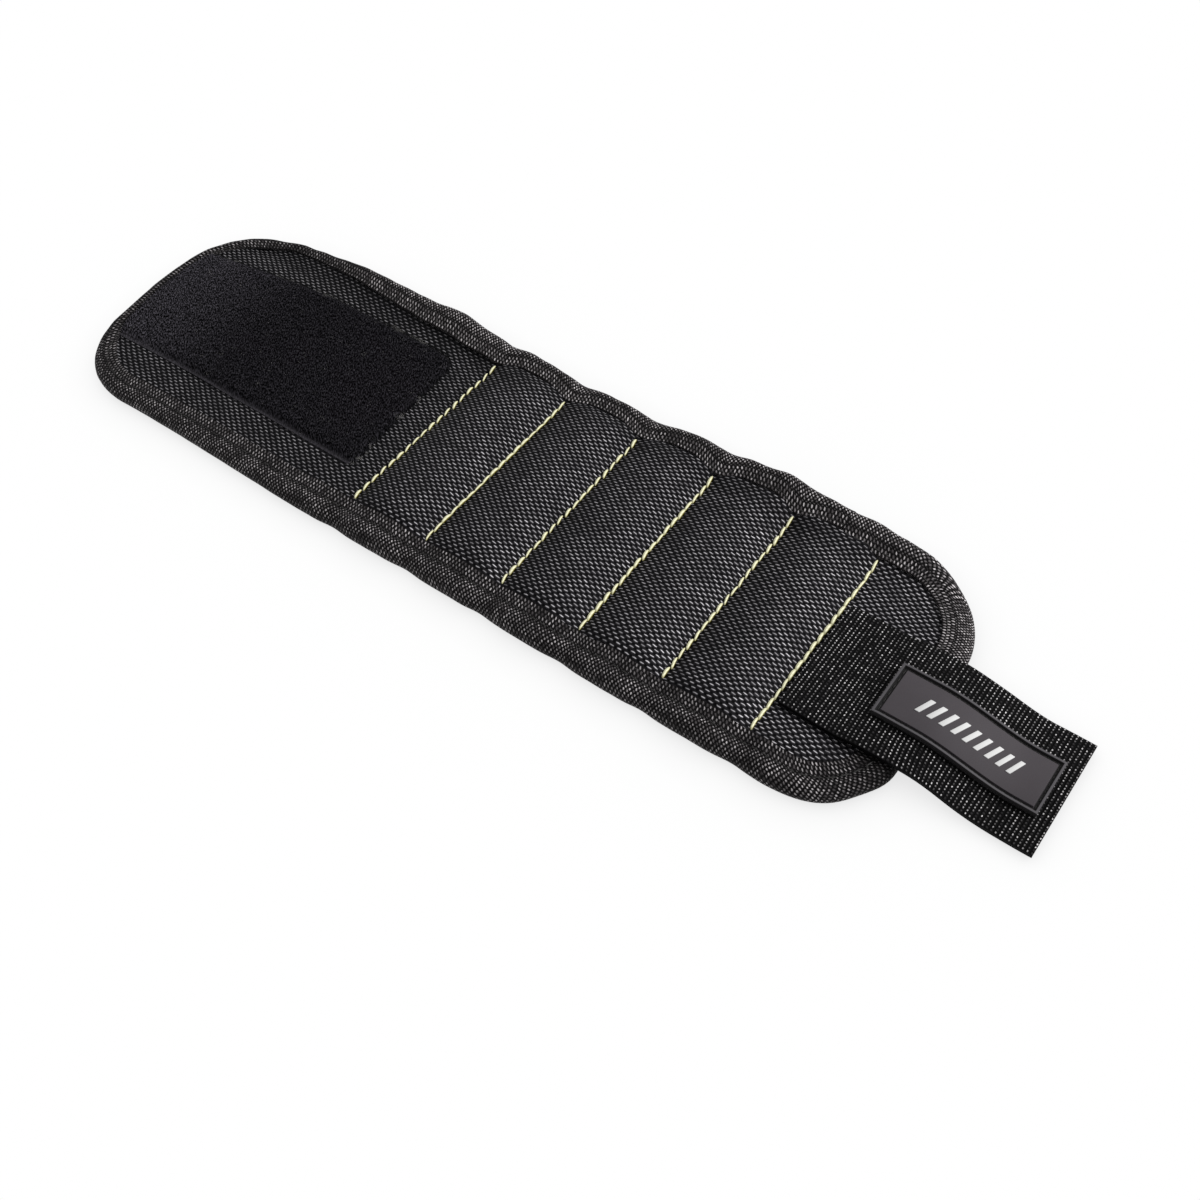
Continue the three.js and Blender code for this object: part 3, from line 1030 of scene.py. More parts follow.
def makeThread(finish):
    pitch = seamThread["pitch"]
    count = int((2 * pillowHalf - pitch / 2) / pitch)
    places = [(step - (count - 1) / 2) * pitch for step in range(count)]
    alongSeam = Matrix.Rotation(math.pi / 2, 4, "Z")
    for number, x in enumerate(sewnX):
        length = seamThread["length"][number] * pitch
        bm = threadStitch(length, seamThread["radius"][number], seamThread["sides"], seamThread["rings"],
                          seamThread["taper"])
        for vert in bm.verts:
            vert.co.y += seamThread["bow"] * (1 - (2 * vert.co.x / length) ** 2)
        matrices = []
        for y in places:
            lean = seamThread["slant"][number] + luck.uniform(-seamThread["lean"], seamThread["lean"])
            jog = luck.uniform(-seamThread["jog"], seamThread["jog"])
            swell = luck.uniform(*seamThread["fullness"])
            matrices.append(Matrix.Translation((x + jog, y, faceTop + seamThread["height"])) @ alongSeam
                            @ Matrix.Rotation(lean, 4, "Z") @ Matrix.Diagonal((1, swell, swell, 1)))
        bm = copies(bm, matrices)
        under = threadStitch(seamThread["underLength"] * pitch, seamThread["underRadius"])
        turned = alongSeam @ Matrix.Rotation(math.pi, 4, "X")
        z = lining["channel"] + seamThread["underLift"]
        joinInto(bm, copies(under, [Matrix.Translation((x, y, z)) @ turned for y in places]), 0)
        piece = makePiece(bm, f"stitches_{number + 1}", [finish])
        crossFold(piece, number + len(folds) - len(seamX))
        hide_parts(f"seam_thread_{number + 1}")
    print("seam thread done")


# Loop tape: napped field between two bare selvages, with stray fibres

loopTape = {
    "rows": 44,
    "step": 1.3,
    "hem": 0.8,
    "selvage": 1.6,
    "selvageTop": 5.8,
    "corners": (2.0, 6.0),  # rounding of the near and far corner at its cut end
    "skew": 0.045,
    "napTop": 7.0,
    "bottom": 5.42,
    "clear": 0.3,
    "fibres": (2600, 1300),
    "fibreSunk": 0.25,
    "fibreTip": (0.1, 1.1),
    "fibreSize": (0.5, 1.1),
    "fibreLength": 2.0,
    "fibreRadius": 0.028,
    "fibreSteps": 3,
    "fibreBend": 0.5,
    "fuzz": (900, 1400),  # fibres that lie out over the far edge and the cut end
    "fuzzFrom": 1.2,
    "fuzzSunk": 0.1,
    "fuzzTurn": 0.8,
    "fuzzTip": (0.6, 1.2),
    "fuzzSize": (0.5, 1),
    "cutShare": 0.5,  # of the fuzz that is on the cut end
    "lumps": ((0.1, 1.6, 1.5), (0.12, 9, 6)),  # height, size and seed of the nap's unevenness
    "napFrom": ((0.6, 1.5), (0, 1.2)),  # in selvages, where the nap grows full by the near and far edge
    "napFromCut": 1.2,
    "sway": 0.5,
    "swayLength": 24,
    "farSkew": (-7.5, 1.3),  # how far off straight the far edge lies at the loop end and further on
    "skewAlong": (-15, 60),
    "skewFrom": -10,
    "startAt": 6,
}
tapeLow, tapeHigh = bandBox("loop_tape_2")[0].y + loopTape["hem"], bandBox("loop_tape_2")[1].y
tapeEnd = bandBox("loop_tape_3")[1].x
tapeInset = bandBox("loop_tape_1")[0].x


def cutEnd(y):
    # the end by the first seam is cut a little askew, with rounded corners
    near, far = loopTape["corners"]
    corner, inside = (near, y - tapeLow) if y < tapeLow + near else (far, tapeHigh - y)
    back = corner - math.sqrt(max(0, corner ** 2 - max(0, corner - inside) ** 2))
    return tapeEnd - loopTape["skew"] * (y - tapeLow) - back


def tapeSide(x, y):
    # where the tape's far side lies once it is sewn on
    skew = lerp(*loopTape["farSkew"], rise(x, *loopTape["skewAlong"]))
    return y + skew * rise(y, loopTape["skewFrom"], tapeHigh)


def tapeX(share, y, low, high):
    side = tapeSide(loopTape["startAt"], y)
    start = endBack(side, flangeWidth(0, side) + loopTape["clear"]) if low == 0 else low
    return lerp(start, cutEnd(y) if high == tapeEnd else high, share)


def napHeight(x, y):
    near, far = [[loopTape["selvage"] * width for width in edge] for edge in loopTape["napFrom"]]
    cut = rise(cutEnd(y) - x, 0, loopTape["napFromCut"])
    field = min(rise(y - tapeLow, *near), rise(tapeHigh - y, *far), cut)
    lump = 0
    for height, size, seed in loopTape["lumps"]:
        lump += height * noise.noise(Vector((x / size, y / size, seed)))
    return lerp(loopTape["selvageTop"], loopTape["napTop"] + lump, field)


def tapeFibre():
    # one loose fibre standing off the nap, bent over at its end
    length = loopTape["fibreLength"] / loopTape["fibreSteps"]
    bends = [loopTape["fibreBend"] * (step + 1) for step in range(loopTape["fibreSteps"])]
    moves = [(length * math.sin(bend), 0, length * math.cos(bend)) for bend in bends]
    return bentStem(3, loopTape["fibreRadius"], moves)


def fibrePlace(x, y, sunk, heading, tip, size):
    place = Matrix.Translation((x, tapeSide(x, y), napHeight(x, y) - sunk))
    turned = Matrix.Rotation(heading, 4, "Z") @ Matrix.Rotation(tip, 4, "Y")
    return place @ turned @ Matrix.Scale(size, 4)


def scatterFibres(number, low, high):
    places = []
    for _ in range(loopTape["fuzz"][number]):
        share = luck.random()
        if number == 1 and share < loopTape["cutShare"]:
            y = lerp(tapeLow, tapeHigh, share / loopTape["cutShare"])
            x, heading = cutEnd(y) - luck.uniform(0, loopTape["fuzzFrom"]), 0
        else:
            y = tapeHigh - luck.uniform(0, loopTape["fuzzFrom"])
            x, heading = tapeX(luck.random(), y, low, high), math.pi / 2
        heading += luck.uniform(-loopTape["fuzzTurn"], loopTape["fuzzTurn"])
        tip = luck.uniform(*loopTape["fuzzTip"])
        size = luck.uniform(*loopTape["fuzzSize"])
        places.append(fibrePlace(x, y, loopTape["fuzzSunk"], heading, tip, size))
    for _ in range(loopTape["fibres"][number]):
        y = luck.uniform(tapeLow + loopTape["selvage"], tapeHigh - loopTape["selvage"])
        x = tapeX(luck.uniform(0.01, 0.99), y, low, high)
        tip = luck.uniform(*loopTape["fibreTip"])
        heading = luck.uniform(0, 2 * math.pi)
        size = luck.uniform(*loopTape["fibreSize"])
        places.append(fibrePlace(x, y, loopTape["fibreSunk"], heading, tip, size))
    return copies(tapeFibre(), places)


def tapeSheet(low, high):
    def placeOf(along, across):
        y = lerp(tapeLow, tapeHigh, across)
        return tapeX(along, y, low, high), y, 0

    bm = flatGrid(round((high - max(low, tapeInset)) / loopTape["step"]), loopTape["rows"], placeOf)
    for vert in bm.verts:
        x, y = vert.co.x, vert.co.y
        sway = noise.noise(Vector((x / loopTape["swayLength"], 2.7, math.copysign(1.4, y))))
        vert.co = (x, tapeSide(x, y) + loopTape["sway"] * sway, napHeight(x, y))
    return bm


def makeLoopTape(nap, fibre):
    stretches = ((0, cuts[1], (1, 2)), (cuts[1], tapeEnd, (3,)))  # from, to, and the tapes it stands for
    for number, (low, high, tapes) in enumerate(stretches):
        fold = folds[number]["name"]
        bm = tapeSheet(low, high)
        area = sum(part.calc_area() for part in bm.faces)
        thicken(bm, lambda vert: loopTape["bottom"])
        piece = makePiece(bm, f"loop_tape_over_{fold}", [nap], 60)
        loose = scatterFibres(number, low, high)
        strands = makePiece(loose, f"loop_fibres_over_{fold}", [fibre])
        width, length = tapeHigh - tapeLow, high - max(low, tapeInset)
        flat = min(area, width * length)
        width * mm
        length * mm
        flat * mm * mm
        crossFold(piece, number)
        crossFold(strands, number)
        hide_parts(*[f"loop_tape_{tape}" for tape in tapes])
    print("loop tape done")


# Closing strap: webbing sewn to the strap end, its free flap, hook tape and moulded plate

strap = {
    "thickness": 1.6,
    "columns": 64,
    "rows": 34,
    "climbTo": 285.25,  # places along the band
    "droopFrom": 293.6,
    "droopTo": 324,
    "rootHeight": 6.45,
    "overHeight": 7.5,
    "endHeight": 2.45,
    "edgeThin": 0.3,
    "edgeReach": 1.2,
    "sway": 0.25,
    "swayLength": 14,
    "rootAhead": 0.9,
    "bendFrom": -5.5,  # off the sewn line
    "bendTo": 6,
}
sewnLine = (next(j for j in frame["joints"] if j["child"] == "flap")["pos_m"][0] - bandStart) / mm
strapLow, strapHigh = bandBox("strap_base")
strapRoot = strapLow.x - strap["rootAhead"]
strapMiddle = (strapLow.y + strapHigh.y) / 2
strapHalf = (strapHigh.y - strapLow.y) / 2


def flapHeight(x):
    share = min(1, max(0, (x - sewnLine) / (strap["climbTo"] - sewnLine)))
    climb = share ** 3 * (share * (6 * share - 15) + 10)
    droop = rise(x, strap["droopFrom"], strap["droopTo"])
    top = lerp(strap["rootHeight"], strap["overHeight"], climb)
    return top - droop * (strap["overHeight"] - strap["endHeight"])


def onFlap(x, y, off):
    # a point off the strap's middle line, square to it
    slope = flapHeight(x + 0.5) - flapHeight(x - 0.5)
    normal = Vector((-slope, 0, 1)).normalized()
    return Vector((x, y, flapHeight(x))) + normal * off


def layOnFlap(bm):
    # a flat shape, x and y in place and z off the strap's middle line, bent to lie on the strap
    for vert in bm.verts:
        vert.co = onFlap(*vert.co)


def makeStrap(finish):
    bm = flatGrid(strap["columns"], strap["rows"], lambda along, across: (
        lerp(strapRoot, bandLength, along), lerp(strapLow.y, strapHigh.y, across), strap["thickness"] / 2))
    thicken(bm, lambda vert: -strap["thickness"] / 2)
    for vert in bm.verts:
        x, off = vert.co.x, vert.co.y - strapMiddle
        vert.co.z *= 1 - strap["edgeThin"] * rise(abs(off), strapHalf - strap["edgeReach"], strapHalf)
        sway = noise.noise(Vector((x / strap["swayLength"], 0.3, math.copysign(2, off))))
        vert.co.y += strap["sway"] * sway * rise(abs(off), 0, strapHalf)
    layOnFlap(bm)
    piece = makePiece(bm, "strap", [finish])
    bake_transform(piece, "strap_end", "flap", start=(bandStart + (sewnLine + strap["bendFrom"]) * mm, 0, 0),
             end=(bandStart + (sewnLine + strap["bendTo"]) * mm, 0, 0))
    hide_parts("strap_base", "strap_flap")
    print("strap done")


plate = {
    "rim": 0.68,
    "groove": 0.85,
    "wall": 0.12,
    "thickness": 1.8,
    "grooveDepth": 0.9,
    "fieldDrop": 0.25,
    "shift": (0.9, -0.35, 0),  # off the place of the CAD plate
    "lift": 0.12,
    "slices": 26,
    "sharp": 0.6,  # angle past which an edge is rounded
    "round": 0.1,
    "stitch": 2.2,
    "stitchPitch": 2.75,
    "stitchRadius": 0.17,
    "stitchLift": 0.08,
    "bars": 9,
    "barPitch": 3.4,
    "barSize": (1.5, 5.4, 0.5),
    "barSlant": 0.42,
    "barRound": 0.16,
    "barLift": 0.02,
}
plateLow, plateHigh = bandBox("moulded_plate")
plateMiddle = (plateLow + plateHigh) / 2 + Vector(plate["shift"])
plateHalf = (plateHigh - plateLow) / 2
plateSeat = strap["thickness"] / 2 + plate["lift"]
# inset and drop of each step from the rim to the field
plate["steps"] = ((plate["rim"], 0), (plate["wall"], plate["grooveDepth"]), (plate["groove"], 0),
                  (plate["wall"], plate["fieldDrop"] - plate["grooveDepth"]))


def plateBlock():
    bm = newShape()
    place = Matrix.Translation((plateMiddle.x, plateMiddle.y, plateSeat + plate["thickness"] / 2))
    size = Matrix.Diagonal((2 * plateHalf.x, 2 * plateHalf.y, plate["thickness"], 1))
    bmesh.ops.create_cube(bm, size=1, matrix=place @ size)
    top = max(bm.faces, key=lambda part: part.calc_center_median().z)
    for width, drop in plate["steps"]:
        bmesh.ops.inset_region(bm, faces=[top], thickness=width, depth=0, use_even_offset=True)
        bmesh.ops.translate(bm, vec=(0, 0, -drop), verts=top.verts)
    corners = [part for part in bm.edges if part.calc_face_angle(0) > plate["sharp"]]
    bmesh.ops.bevel(bm, geom=corners, offset=plate["round"], offset_type="OFFSET", affect="EDGES",
                    segments=2, profile=0.5, material=-1, clamp_overlap=True)
    # cut across, so that it can bend with the strap
    for step in range(1, plate["slices"]):
        x = plateMiddle.x + plateHalf.x * (2 * step / plate["slices"] - 1)
        bmesh.ops.bisect_plane(bm, geom=bm.verts[:] + bm.edges[:] + bm.faces[:], plane_co=(x, 0, 0),
                               plane_no=(1, 0, 0), dist=0.0001)
    return bm


def plateStitches():
    inset = plate["rim"] + plate["wall"] + plate["groove"] / 2
    x0, x1 = plateMiddle.x - plateHalf.x + inset, plateMiddle.x + plateHalf.x - inset
    y0, y1 = plateMiddle.y - plateHalf.y + inset, plateMiddle.y + plateHalf.y - inset
    z = plateSeat + plate["thickness"] - plate["grooveDepth"] + plate["stitchLift"]
    bm = threadStitch(plate["stitch"], plate["stitchRadius"])
    matrices = []
    count = round((x1 - x0) / plate["stitchPitch"])
    for step in range(count):
        for y in (y0, y1):
            matrices.append(Matrix.Translation((lerp(x0, x1, (step + 0.5) / count), y, z)))
    count = round((y1 - y0) / plate["stitchPitch"])
    turned = Matrix.Rotation(math.pi / 2, 4, "Z")
    for step in range(count):
        for x in (x0, x1):
            matrices.append(Matrix.Translation((x, lerp(y0, y1, (step + 0.5) / count), z)) @ turned)
    return copies(bm, matrices)


def plateBars():
    # plain slanted bars moulded on the field
    bm = newShape()
    bmesh.ops.create_cube(bm, size=1, matrix=Matrix.Diagonal((*plate["barSize"], 1)))
    bmesh.ops.bevel(bm, geom=bm.edges[:], offset=plate["barRound"], offset_type="OFFSET", affect="EDGES",
                    segments=2, profile=0.5, material=-1)
    for vert in bm.verts:
        vert.co.x += plate["barSlant"] * vert.co.y
    z = plateSeat + plate["thickness"] - plate["fieldDrop"] + plate["barLift"]
    offsets = [(step - (plate["bars"] - 1) / 2) * plate["barPitch"] for step in range(plate["bars"])]
    return copies(bm, [Matrix.Translation((plateMiddle.x + offset, plateMiddle.y, z)) for offset in offsets])


def makePlate(rubber, sewing, pale):
    bm = plateBlock()
    mapFlat(bm)
    joinInto(bm, plateStitches(), 1)
    joinInto(bm, plateBars(), 2)
    layOnFlap(bm)
    piece = makePiece(bm, "label_plate", [rubber, sewing, pale], 30)
    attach(piece, "flap")
    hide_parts("moulded_plate")
    print("plate done")


hook = {
    "pitch": 1.5,
    "stem": 0.12,
    "base": 0.55,
    "grid": (26, 12),
    "margin": 1,
    "moves": ((0, 0, -0.45), (0.05, 0, -0.25), (0.2, 0, -0.12), (0.2, 0, 0.08)),  # from root to bent tip
    "sunk": 0.1,
    "turn": 0.4,
    "clear": 0.02,
    "rootClear": 0.3,
}
hookLow, hookHigh = bandBox("hook_tape")


def makeHooks(finish):
    x0, x1, y0, y1 = hookLow.x + hook["rootClear"], hookHigh.x, hookLow.y, hookHigh.y
    top = -strap["thickness"] / 2 - hook["clear"]
    bm = flatGrid(*hook["grid"], lambda along, across: (lerp(x0, x1, along), lerp(y0, y1, across), top))
    thicken(bm, lambda vert: top - hook["base"])
    matrices = []
    long, wide = x1 - x0 - 2 * hook["margin"], y1 - y0 - 2 * hook["margin"]
    columns, rows = int(long / hook["pitch"]), int(wide / hook["pitch"])
    for column in range(columns):
        for row in range(rows):
            x = x0 + hook["margin"] + (column + 0.5) * long / columns
            y = y0 + hook["margin"] + (row + 0.5) * wide / rows
            turn = math.pi * (row % 2) + luck.uniform(-hook["turn"], hook["turn"])
            place = Matrix.Translation((x, y, top - hook["base"] + hook["sunk"]))
            matrices.append(place @ Matrix.Rotation(turn, 4, "Z"))
    joinInto(bm, copies(bentStem(4, hook["stem"], hook["moves"]), matrices), 0)
    layOnFlap(bm)
    piece = makePiece(bm, "hooks", [finish])
    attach(piece, "flap")
    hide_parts("hook_tape")
    print("hook tape done")


# Finishes

facePaintedLight = {
    "pocketShade": 0.5,
    "tight": 0.36,  # painted light added from one seam to the next
    "tightBy": 0.9,
    "firstPocket": 0.91,
    "eachPocket": 0.036,
    "loopEnd": 0.48,
    "strapEnd": 0.8,
    "farFrom": (28, 35),
    "farLoss": 0.35,
}


def faceLight(u, v):
    # painted light that rises from each seam to the next, where the pillow turns to the lamp; painted shade
    # on the loop end and by the far edge
    first, last = sewnX[0], sewnX[-1]
    place = (u - first) * ((len(sewnX) - 1) / (last - first))
    pocket = facePaintedLight["pocketShade"] + place.op("FRACT").band(0, facePaintedLight["tightBy"]) * facePaintedLight["tight"]
    pocket = pocket * (facePaintedLight["firstPocket"] + place * facePaintedLight["eachPocket"])
    body = pocket + (facePaintedLight["loopEnd"] - pocket) * (1 - u.band(first - 0.5, first))
    body = body * (1 - v.band(*facePaintedLight["farFrom"]) * facePaintedLight["farLoss"])
    # a plain level of painted light on the strap end
    atStrap = u.band(last, last + 0.5)
    return body * (1 - atStrap) + atStrap * facePaintedLight["strapEnd"]


def faceFinish():
    return wovenFinish("face cloth", {
        "zones": (
            {"cell": (2.5, 1.0), "stagger": 0.5, "slant": 0.0, "float": (1.05, 0.47), "pit": (0.5, 0.42),
             "crest": 0.14, "gleam": (0.74, 0.15), "lustre": 0.65, "spread": 1.0, "shine": 1.0},
        ),
        "light": faceLight,
        "lit": (0.2, 0.9), "wander": 0.5, "wanderScale": 0.35, "shade": 0.25, "shadeScale": 0.12,
        "gap": rgb(0.001, 0.001, 0.0013), "ground": rgb(0.018, 0.017, 0.0195),
        # the near-white colour is the painted highlight on the floats
        "body": rgb(0.046, 0.0436, 0.0485), "yarn": rgb(0.96, 0.935, 0.97),
        "fibre": 0.2, "bump": 0.9, "depth": 0.35, "roughness": 0.6, "specular": 0.04,
    })


# painted light and shade on the binding tape, besides its dark sewn line
bindingPaintedLight = {
    "base": 0.8,
    "sewn": (3.5, 4.0, 4.3, 5.0),  # across the tape
    "sewnLoss": 0.7,
    "roll": (6, 9),
    "rollGain": 0.14,
    "loopFar": (-45, -8),  # along the tape, off the start of the far side
    "strapFar": (-6, 4),  # off the middle of the end
    "farGain": 0.36,
    "gleam": (-50, -30, -4, 8),  # off the start of the far side
    "gleamGain": 0.4,
    "shade": (17, 28),  # off the start of the near side
    "shadeTurn": (-3, 3),  # off the middle of the end
    "shadeLoss": 0.75,
}


def bindingLight(u, v):
    # dark where the tape is sewn down, painted light on the far side and on the outer roll, and on the strap
    # end a painted highlight on the far corner and the painted shadow of the strap on the near one
    look = bindingPaintedLight
    loopFar = [2 * halfway + off for off in look["loopFar"]]
    strapFar = [halfway + off for off in look["strapFar"]]
    shadeTurn = [halfway + off for off in look["shadeTurn"]]
    turn = u - binding["strapRun"]
    far = (1 - u.band(*loopFar)).above(turn.band(*strapFar))
    gleam = turn.window(*look["gleam"])
    shade = (turn - 2 * halfway).band(*look["shade"]) * (1 - turn.band(*shadeTurn))
    lit = look["base"] + far * look["farGain"] + v.band(*look["roll"]) * look["rollGain"]
    lit = lit + gleam * look["gleamGain"]
    return (1 - v.window(*look["sewn"]) * look["sewnLoss"]) * lit * (1 - shade * look["shadeLoss"])


def bindingFinish():
    return wovenFinish("binding tape", {
        "zones": (
            {"cell": (1.2, 1.2), "stagger": 0.5, "slant": -0.4, "float": (0.41, 0.61), "pit": (0.22, 0.55),
             "crest": 0.0, "gleam": (0.2, 0.5), "lustre": 0.92, "spread": 1.5, "shine": 0.85},
            {"cell": (1.2, 0.82), "stagger": 0.5, "slant": -0.3, "float": (0.43, 0.41), "pit": (0.26, 0.42),
             "crest": 0.0, "gleam": (0.21, 0.33), "lustre": 0.92, "spread": 1.5, "shine": 1.0},
        ),
        "border": (3.6, 4.2),
        "specks": (2.3, 0.08),
        "light": bindingLight,
        "lit": (0.1, 0.9), "wander": 0.6, "wanderScale": 0.6, "shade": 0.5, "shadeScale": 0.14,
        "gap": rgb(0.0012, 0.001, 0.0011), "ground": rgb(0.008, 0.0071, 0.0074),
        # the near-white colour is the painted highlight on the floats
        "body": rgb(0.072, 0.0645, 0.0673), "yarn": rgb(0.94, 0.89, 0.9),
        "fibre": 0.3, "bump": 0.9, "depth": 0.3, "roughness": 0.6, "specular": 0.04,
    })


def webbingFinish():
    return wovenFinish("webbing", {
        "zones": (
            {"cell": (1.27, 1.0), "stagger": 0.0, "slant": 0.0, "float": (0.5, 0.46), "pit": (0.3, 0.55),
             "crest": 0.1, "gleam": (0.19, 0.28), "lustre": 1.0, "spread": 1.6, "shine": 1.0},
        ),
        "lit": (0.2, 0.9), "wander": 0.35, "wanderScale": 0.8, "shade": 0.5, "shadeScale": 0.15,
        "gap": rgb(0.0008, 0.0008, 0.0009), "ground": rgb(0.003, 0.0028, 0.0031),
        # the near-white colour is the painted highlight on the floats
        "body": rgb(0.0195, 0.0184, 0.0196), "yarn": rgb(0.95, 0.925, 0.925),
        "fibre": 0.3, "bump": 0.9, "depth": 0.4, "roughness": 0.6, "specular": 0.04,
    })


def liningFinish():
    # knitted spacer mesh: rounded holes in offset rows
    finish = Finish("lining mesh")
    cloth = finish.clothMap()
    u, v = finish.parts(cloth)
    placeU, placeV = yarnCells(u, v, lining["mesh"])[:2]
    hole = dome(placeU, placeV, lining["hole"]).band(0, 0.8)
    fuzz = finish.grain(cloth, 3, 3)
    knit = finish.mix(fuzz, rgb(0.012, 0.012, 0.0135), rgb(0.032, 0.032, 0.035))
    colour = finish.mix(hole, knit, rgb(0.003, 0.003, 0.0035))
    finish.bump((1 - hole) + fuzz * 0.3, 0.8, 0.5)
    return finish.put(Base_Color=colour, Roughness=0.92, Specular_IOR_Level=0.1)


napLook = {
    "dark": rgb(0.0009, 0.0008, 0.0011),
    "pale": rgb(0.135, 0.127, 0.149),
    "bareFar": rgb(0.026, 0.0245, 0.028),
    "bareNear": rgb(0.07, 0.066, 0.075),
    "bareBand": (0.4, 1.6),  # in selvages
    "ragged": 1.5,
    "loopEnd": (4, 50),
    "loopGain": 0.64,
}


def napFinish():
    # brushed loops: matte, lighter towards the loop end and where they thin out at the edges
    finish = Finish("loop nap")
    cloth = finish.clothMap()
    u, v = finish.parts(cloth)
    fine = finish.grain(finish.joined(u * 2.5 + v * 1.8, v * 0.9 - u * 0.65), 1, 4, 0.4)  # brushed askew
    tuft = finish.grain(cloth, 0.5, 3)
    lighterToLoopEnd = 1 - u.band(*napLook["loopEnd"]) * napLook["loopGain"]
    nap = finish.mix(fine.band(0.44, 0.66) * (tuft * 0.8 + 0.4) * lighterToLoopEnd, napLook["dark"], napLook["pale"])
    bareBand = [loopTape["selvage"] * width for width in napLook["bareBand"]]
    for fromEdge, pale in ((tapeHigh - v, napLook["bareFar"]), (v - tapeLow, napLook["bareNear"])):
        bare = 1 - (fromEdge + fine * napLook["ragged"]).band(*bareBand)
        nap = finish.mix(bare * (0.4 + fine.band(0.36, 0.62) * 0.5), nap, pale)
    finish.bump(fine, 0.6, 0.4)
    return finish.put(Base_Color=nap, Roughness=1.0, Specular_IOR_Level=0.01)


def fibreFinish():
    # most fibres are as dark as the nap, a few are pale
    finish = Finish("loop fibre")
    spread = finish.grain(finish.place(), 260)
    colour = finish.mix(spread.band(0.58, 0.66), rgb(0.007, 0.007, 0.008), rgb(0.3, 0.29, 0.28))
    return finish.put(Base_Color=colour, Roughness=0.7, Specular_IOR_Level=0.1)


twist = {
    "along": 4.2,
    "round": 1.6,
    "sides": (0.75, 1.3),  # angle off the crest
    "ends": (1.2, 2.2),  # off the stitch's middle
    "endLoss": 0.45,
}


def threadFinish(name, shadow, light, lustre):
    # two plies twisted round each other, with a painted highlight along the crest and painted shade down
    # their sides and ends
    finish = Finish(name)
    u, turn = finish.parts(finish.clothMap())
    ply = (u * twist["along"] + turn * twist["round"]).op("SINE") * 0.5 + 0.5
    ends = u.op("ABSOLUTE").band(*twist["ends"]) * twist["endLoss"]
    crest = (1 - turn.op("ABSOLUTE").band(*twist["sides"])) * (1 - ends)
    colour = finish.mix((ply.band(0, 0.5) * 0.2 + 0.8) * crest, shadow, light)
    finish.bump(ply, 0.6, 0.12)
    return finish.put(Base_Color=colour, Roughness=lustre, Specular_IOR_Level=0.2)


def hookFinish():
    finish = Finish("hook pile")
    spread = finish.grain(finish.place(), 400)
    colour = finish.mix(spread, rgb(0.004, 0.004, 0.0045), rgb(0.014, 0.014, 0.015))
    return finish.put(Base_Color=colour, Roughness=0.5 + spread * 0.2, Specular_IOR_Level=0.25)


def rubberFinish(name, low, high):
    # moulded rubber with a fine sprayed grain
    finish = Finish(name)
    place = finish.place()
    grain = finish.grain(place, 5200, 2)
    cloud = finish.grain(place, 160, 2)
    colour = finish.mix(grain * 0.5 + cloud * 0.5, low, high)
    finish.bump(grain, 0.25, 0.08)
    finish.put(Base_Color=colour, Roughness=0.6 + grain * 0.2, Specular_IOR_Level=0.25)
    return finish


def plateFinish():
    # its rim is paler, and the groove and the side walls carry painted shade
    finish = rubberFinish("plate rubber", rgb(0.045, 0.039, 0.044), rgb(0.068, 0.06, 0.067))
    u, v = finish.parts(finish.clothMap())
    fromEdge = (plateHalf.x - (u - plateMiddle.x).op("ABSOLUTE")).op(
        "MINIMUM", plateHalf.y - (v - plateMiddle.y).op("ABSOLUTE"))
    top = fromEdge.band(0, 0.12)
    inRim = 1 - fromEdge.band(plate["rim"] - 0.1, plate["rim"] + 0.05)
    field = plate["rim"] + plate["groove"]
    inField = fromEdge.band(field, field + 2 * plate["wall"])
    plain = finish.shader.inputs["Base Color"].links[0].from_socket
    # painted shade in the groove, between the rim and the field
    colour = finish.mix(inField, rgb(0.004, 0.0036, 0.004), plain)
    colour = finish.mix(inRim, colour, rgb(0.088, 0.083, 0.09))
    # painted shade on the side walls
    return finish.put(Base_Color=finish.mix(top, rgb(0.012, 0.011, 0.012), colour))


def nickelFinish():
    finish = Finish("magnet nickel")
    haze = finish.grain(finish.place(), 900, 3)
    colour = finish.mix(haze, rgb(0.55, 0.55, 0.56), rgb(0.68, 0.68, 0.69))
    return finish.put(Base_Color=colour, Metallic=1.0, Roughness=0.18 + haze * 0.2)


# Stage

shot = {
    "lens": 43.36,
    "azimuth": 35.61,
    "elevation": 52.66,
    "distance": 0.4182,
    "target": (0.03, -0.0196, 0),
}


def makeCamera():
    camera = bpy.data.cameras.new("camera")
    camera.lens = shot["lens"]
    holder = bpy.data.objects.new("camera", camera)
    scene.collection.objects.link(holder)
    a, e = math.radians(shot["azimuth"]), math.radians(shot["elevation"])
    back = Vector((math.sin(a) * math.cos(e), -math.cos(a) * math.cos(e), math.sin(e)))
    holder.location = Vector(shot["target"]) + back * shot["distance"]
    holder.rotation_mode = "QUATERNION"
    holder.rotation_quaternion = (-back).to_track_quat("-Z", "Y")
    scene.camera = holder


floorPaper = {
    "size": 6,
    "wide": 0.06,
    "close": 0.012,
    "samples": 12,
    "shade": 0.15,
    "colour": rgb(0.02, 0.02, 0.025),  # of the shadow
}


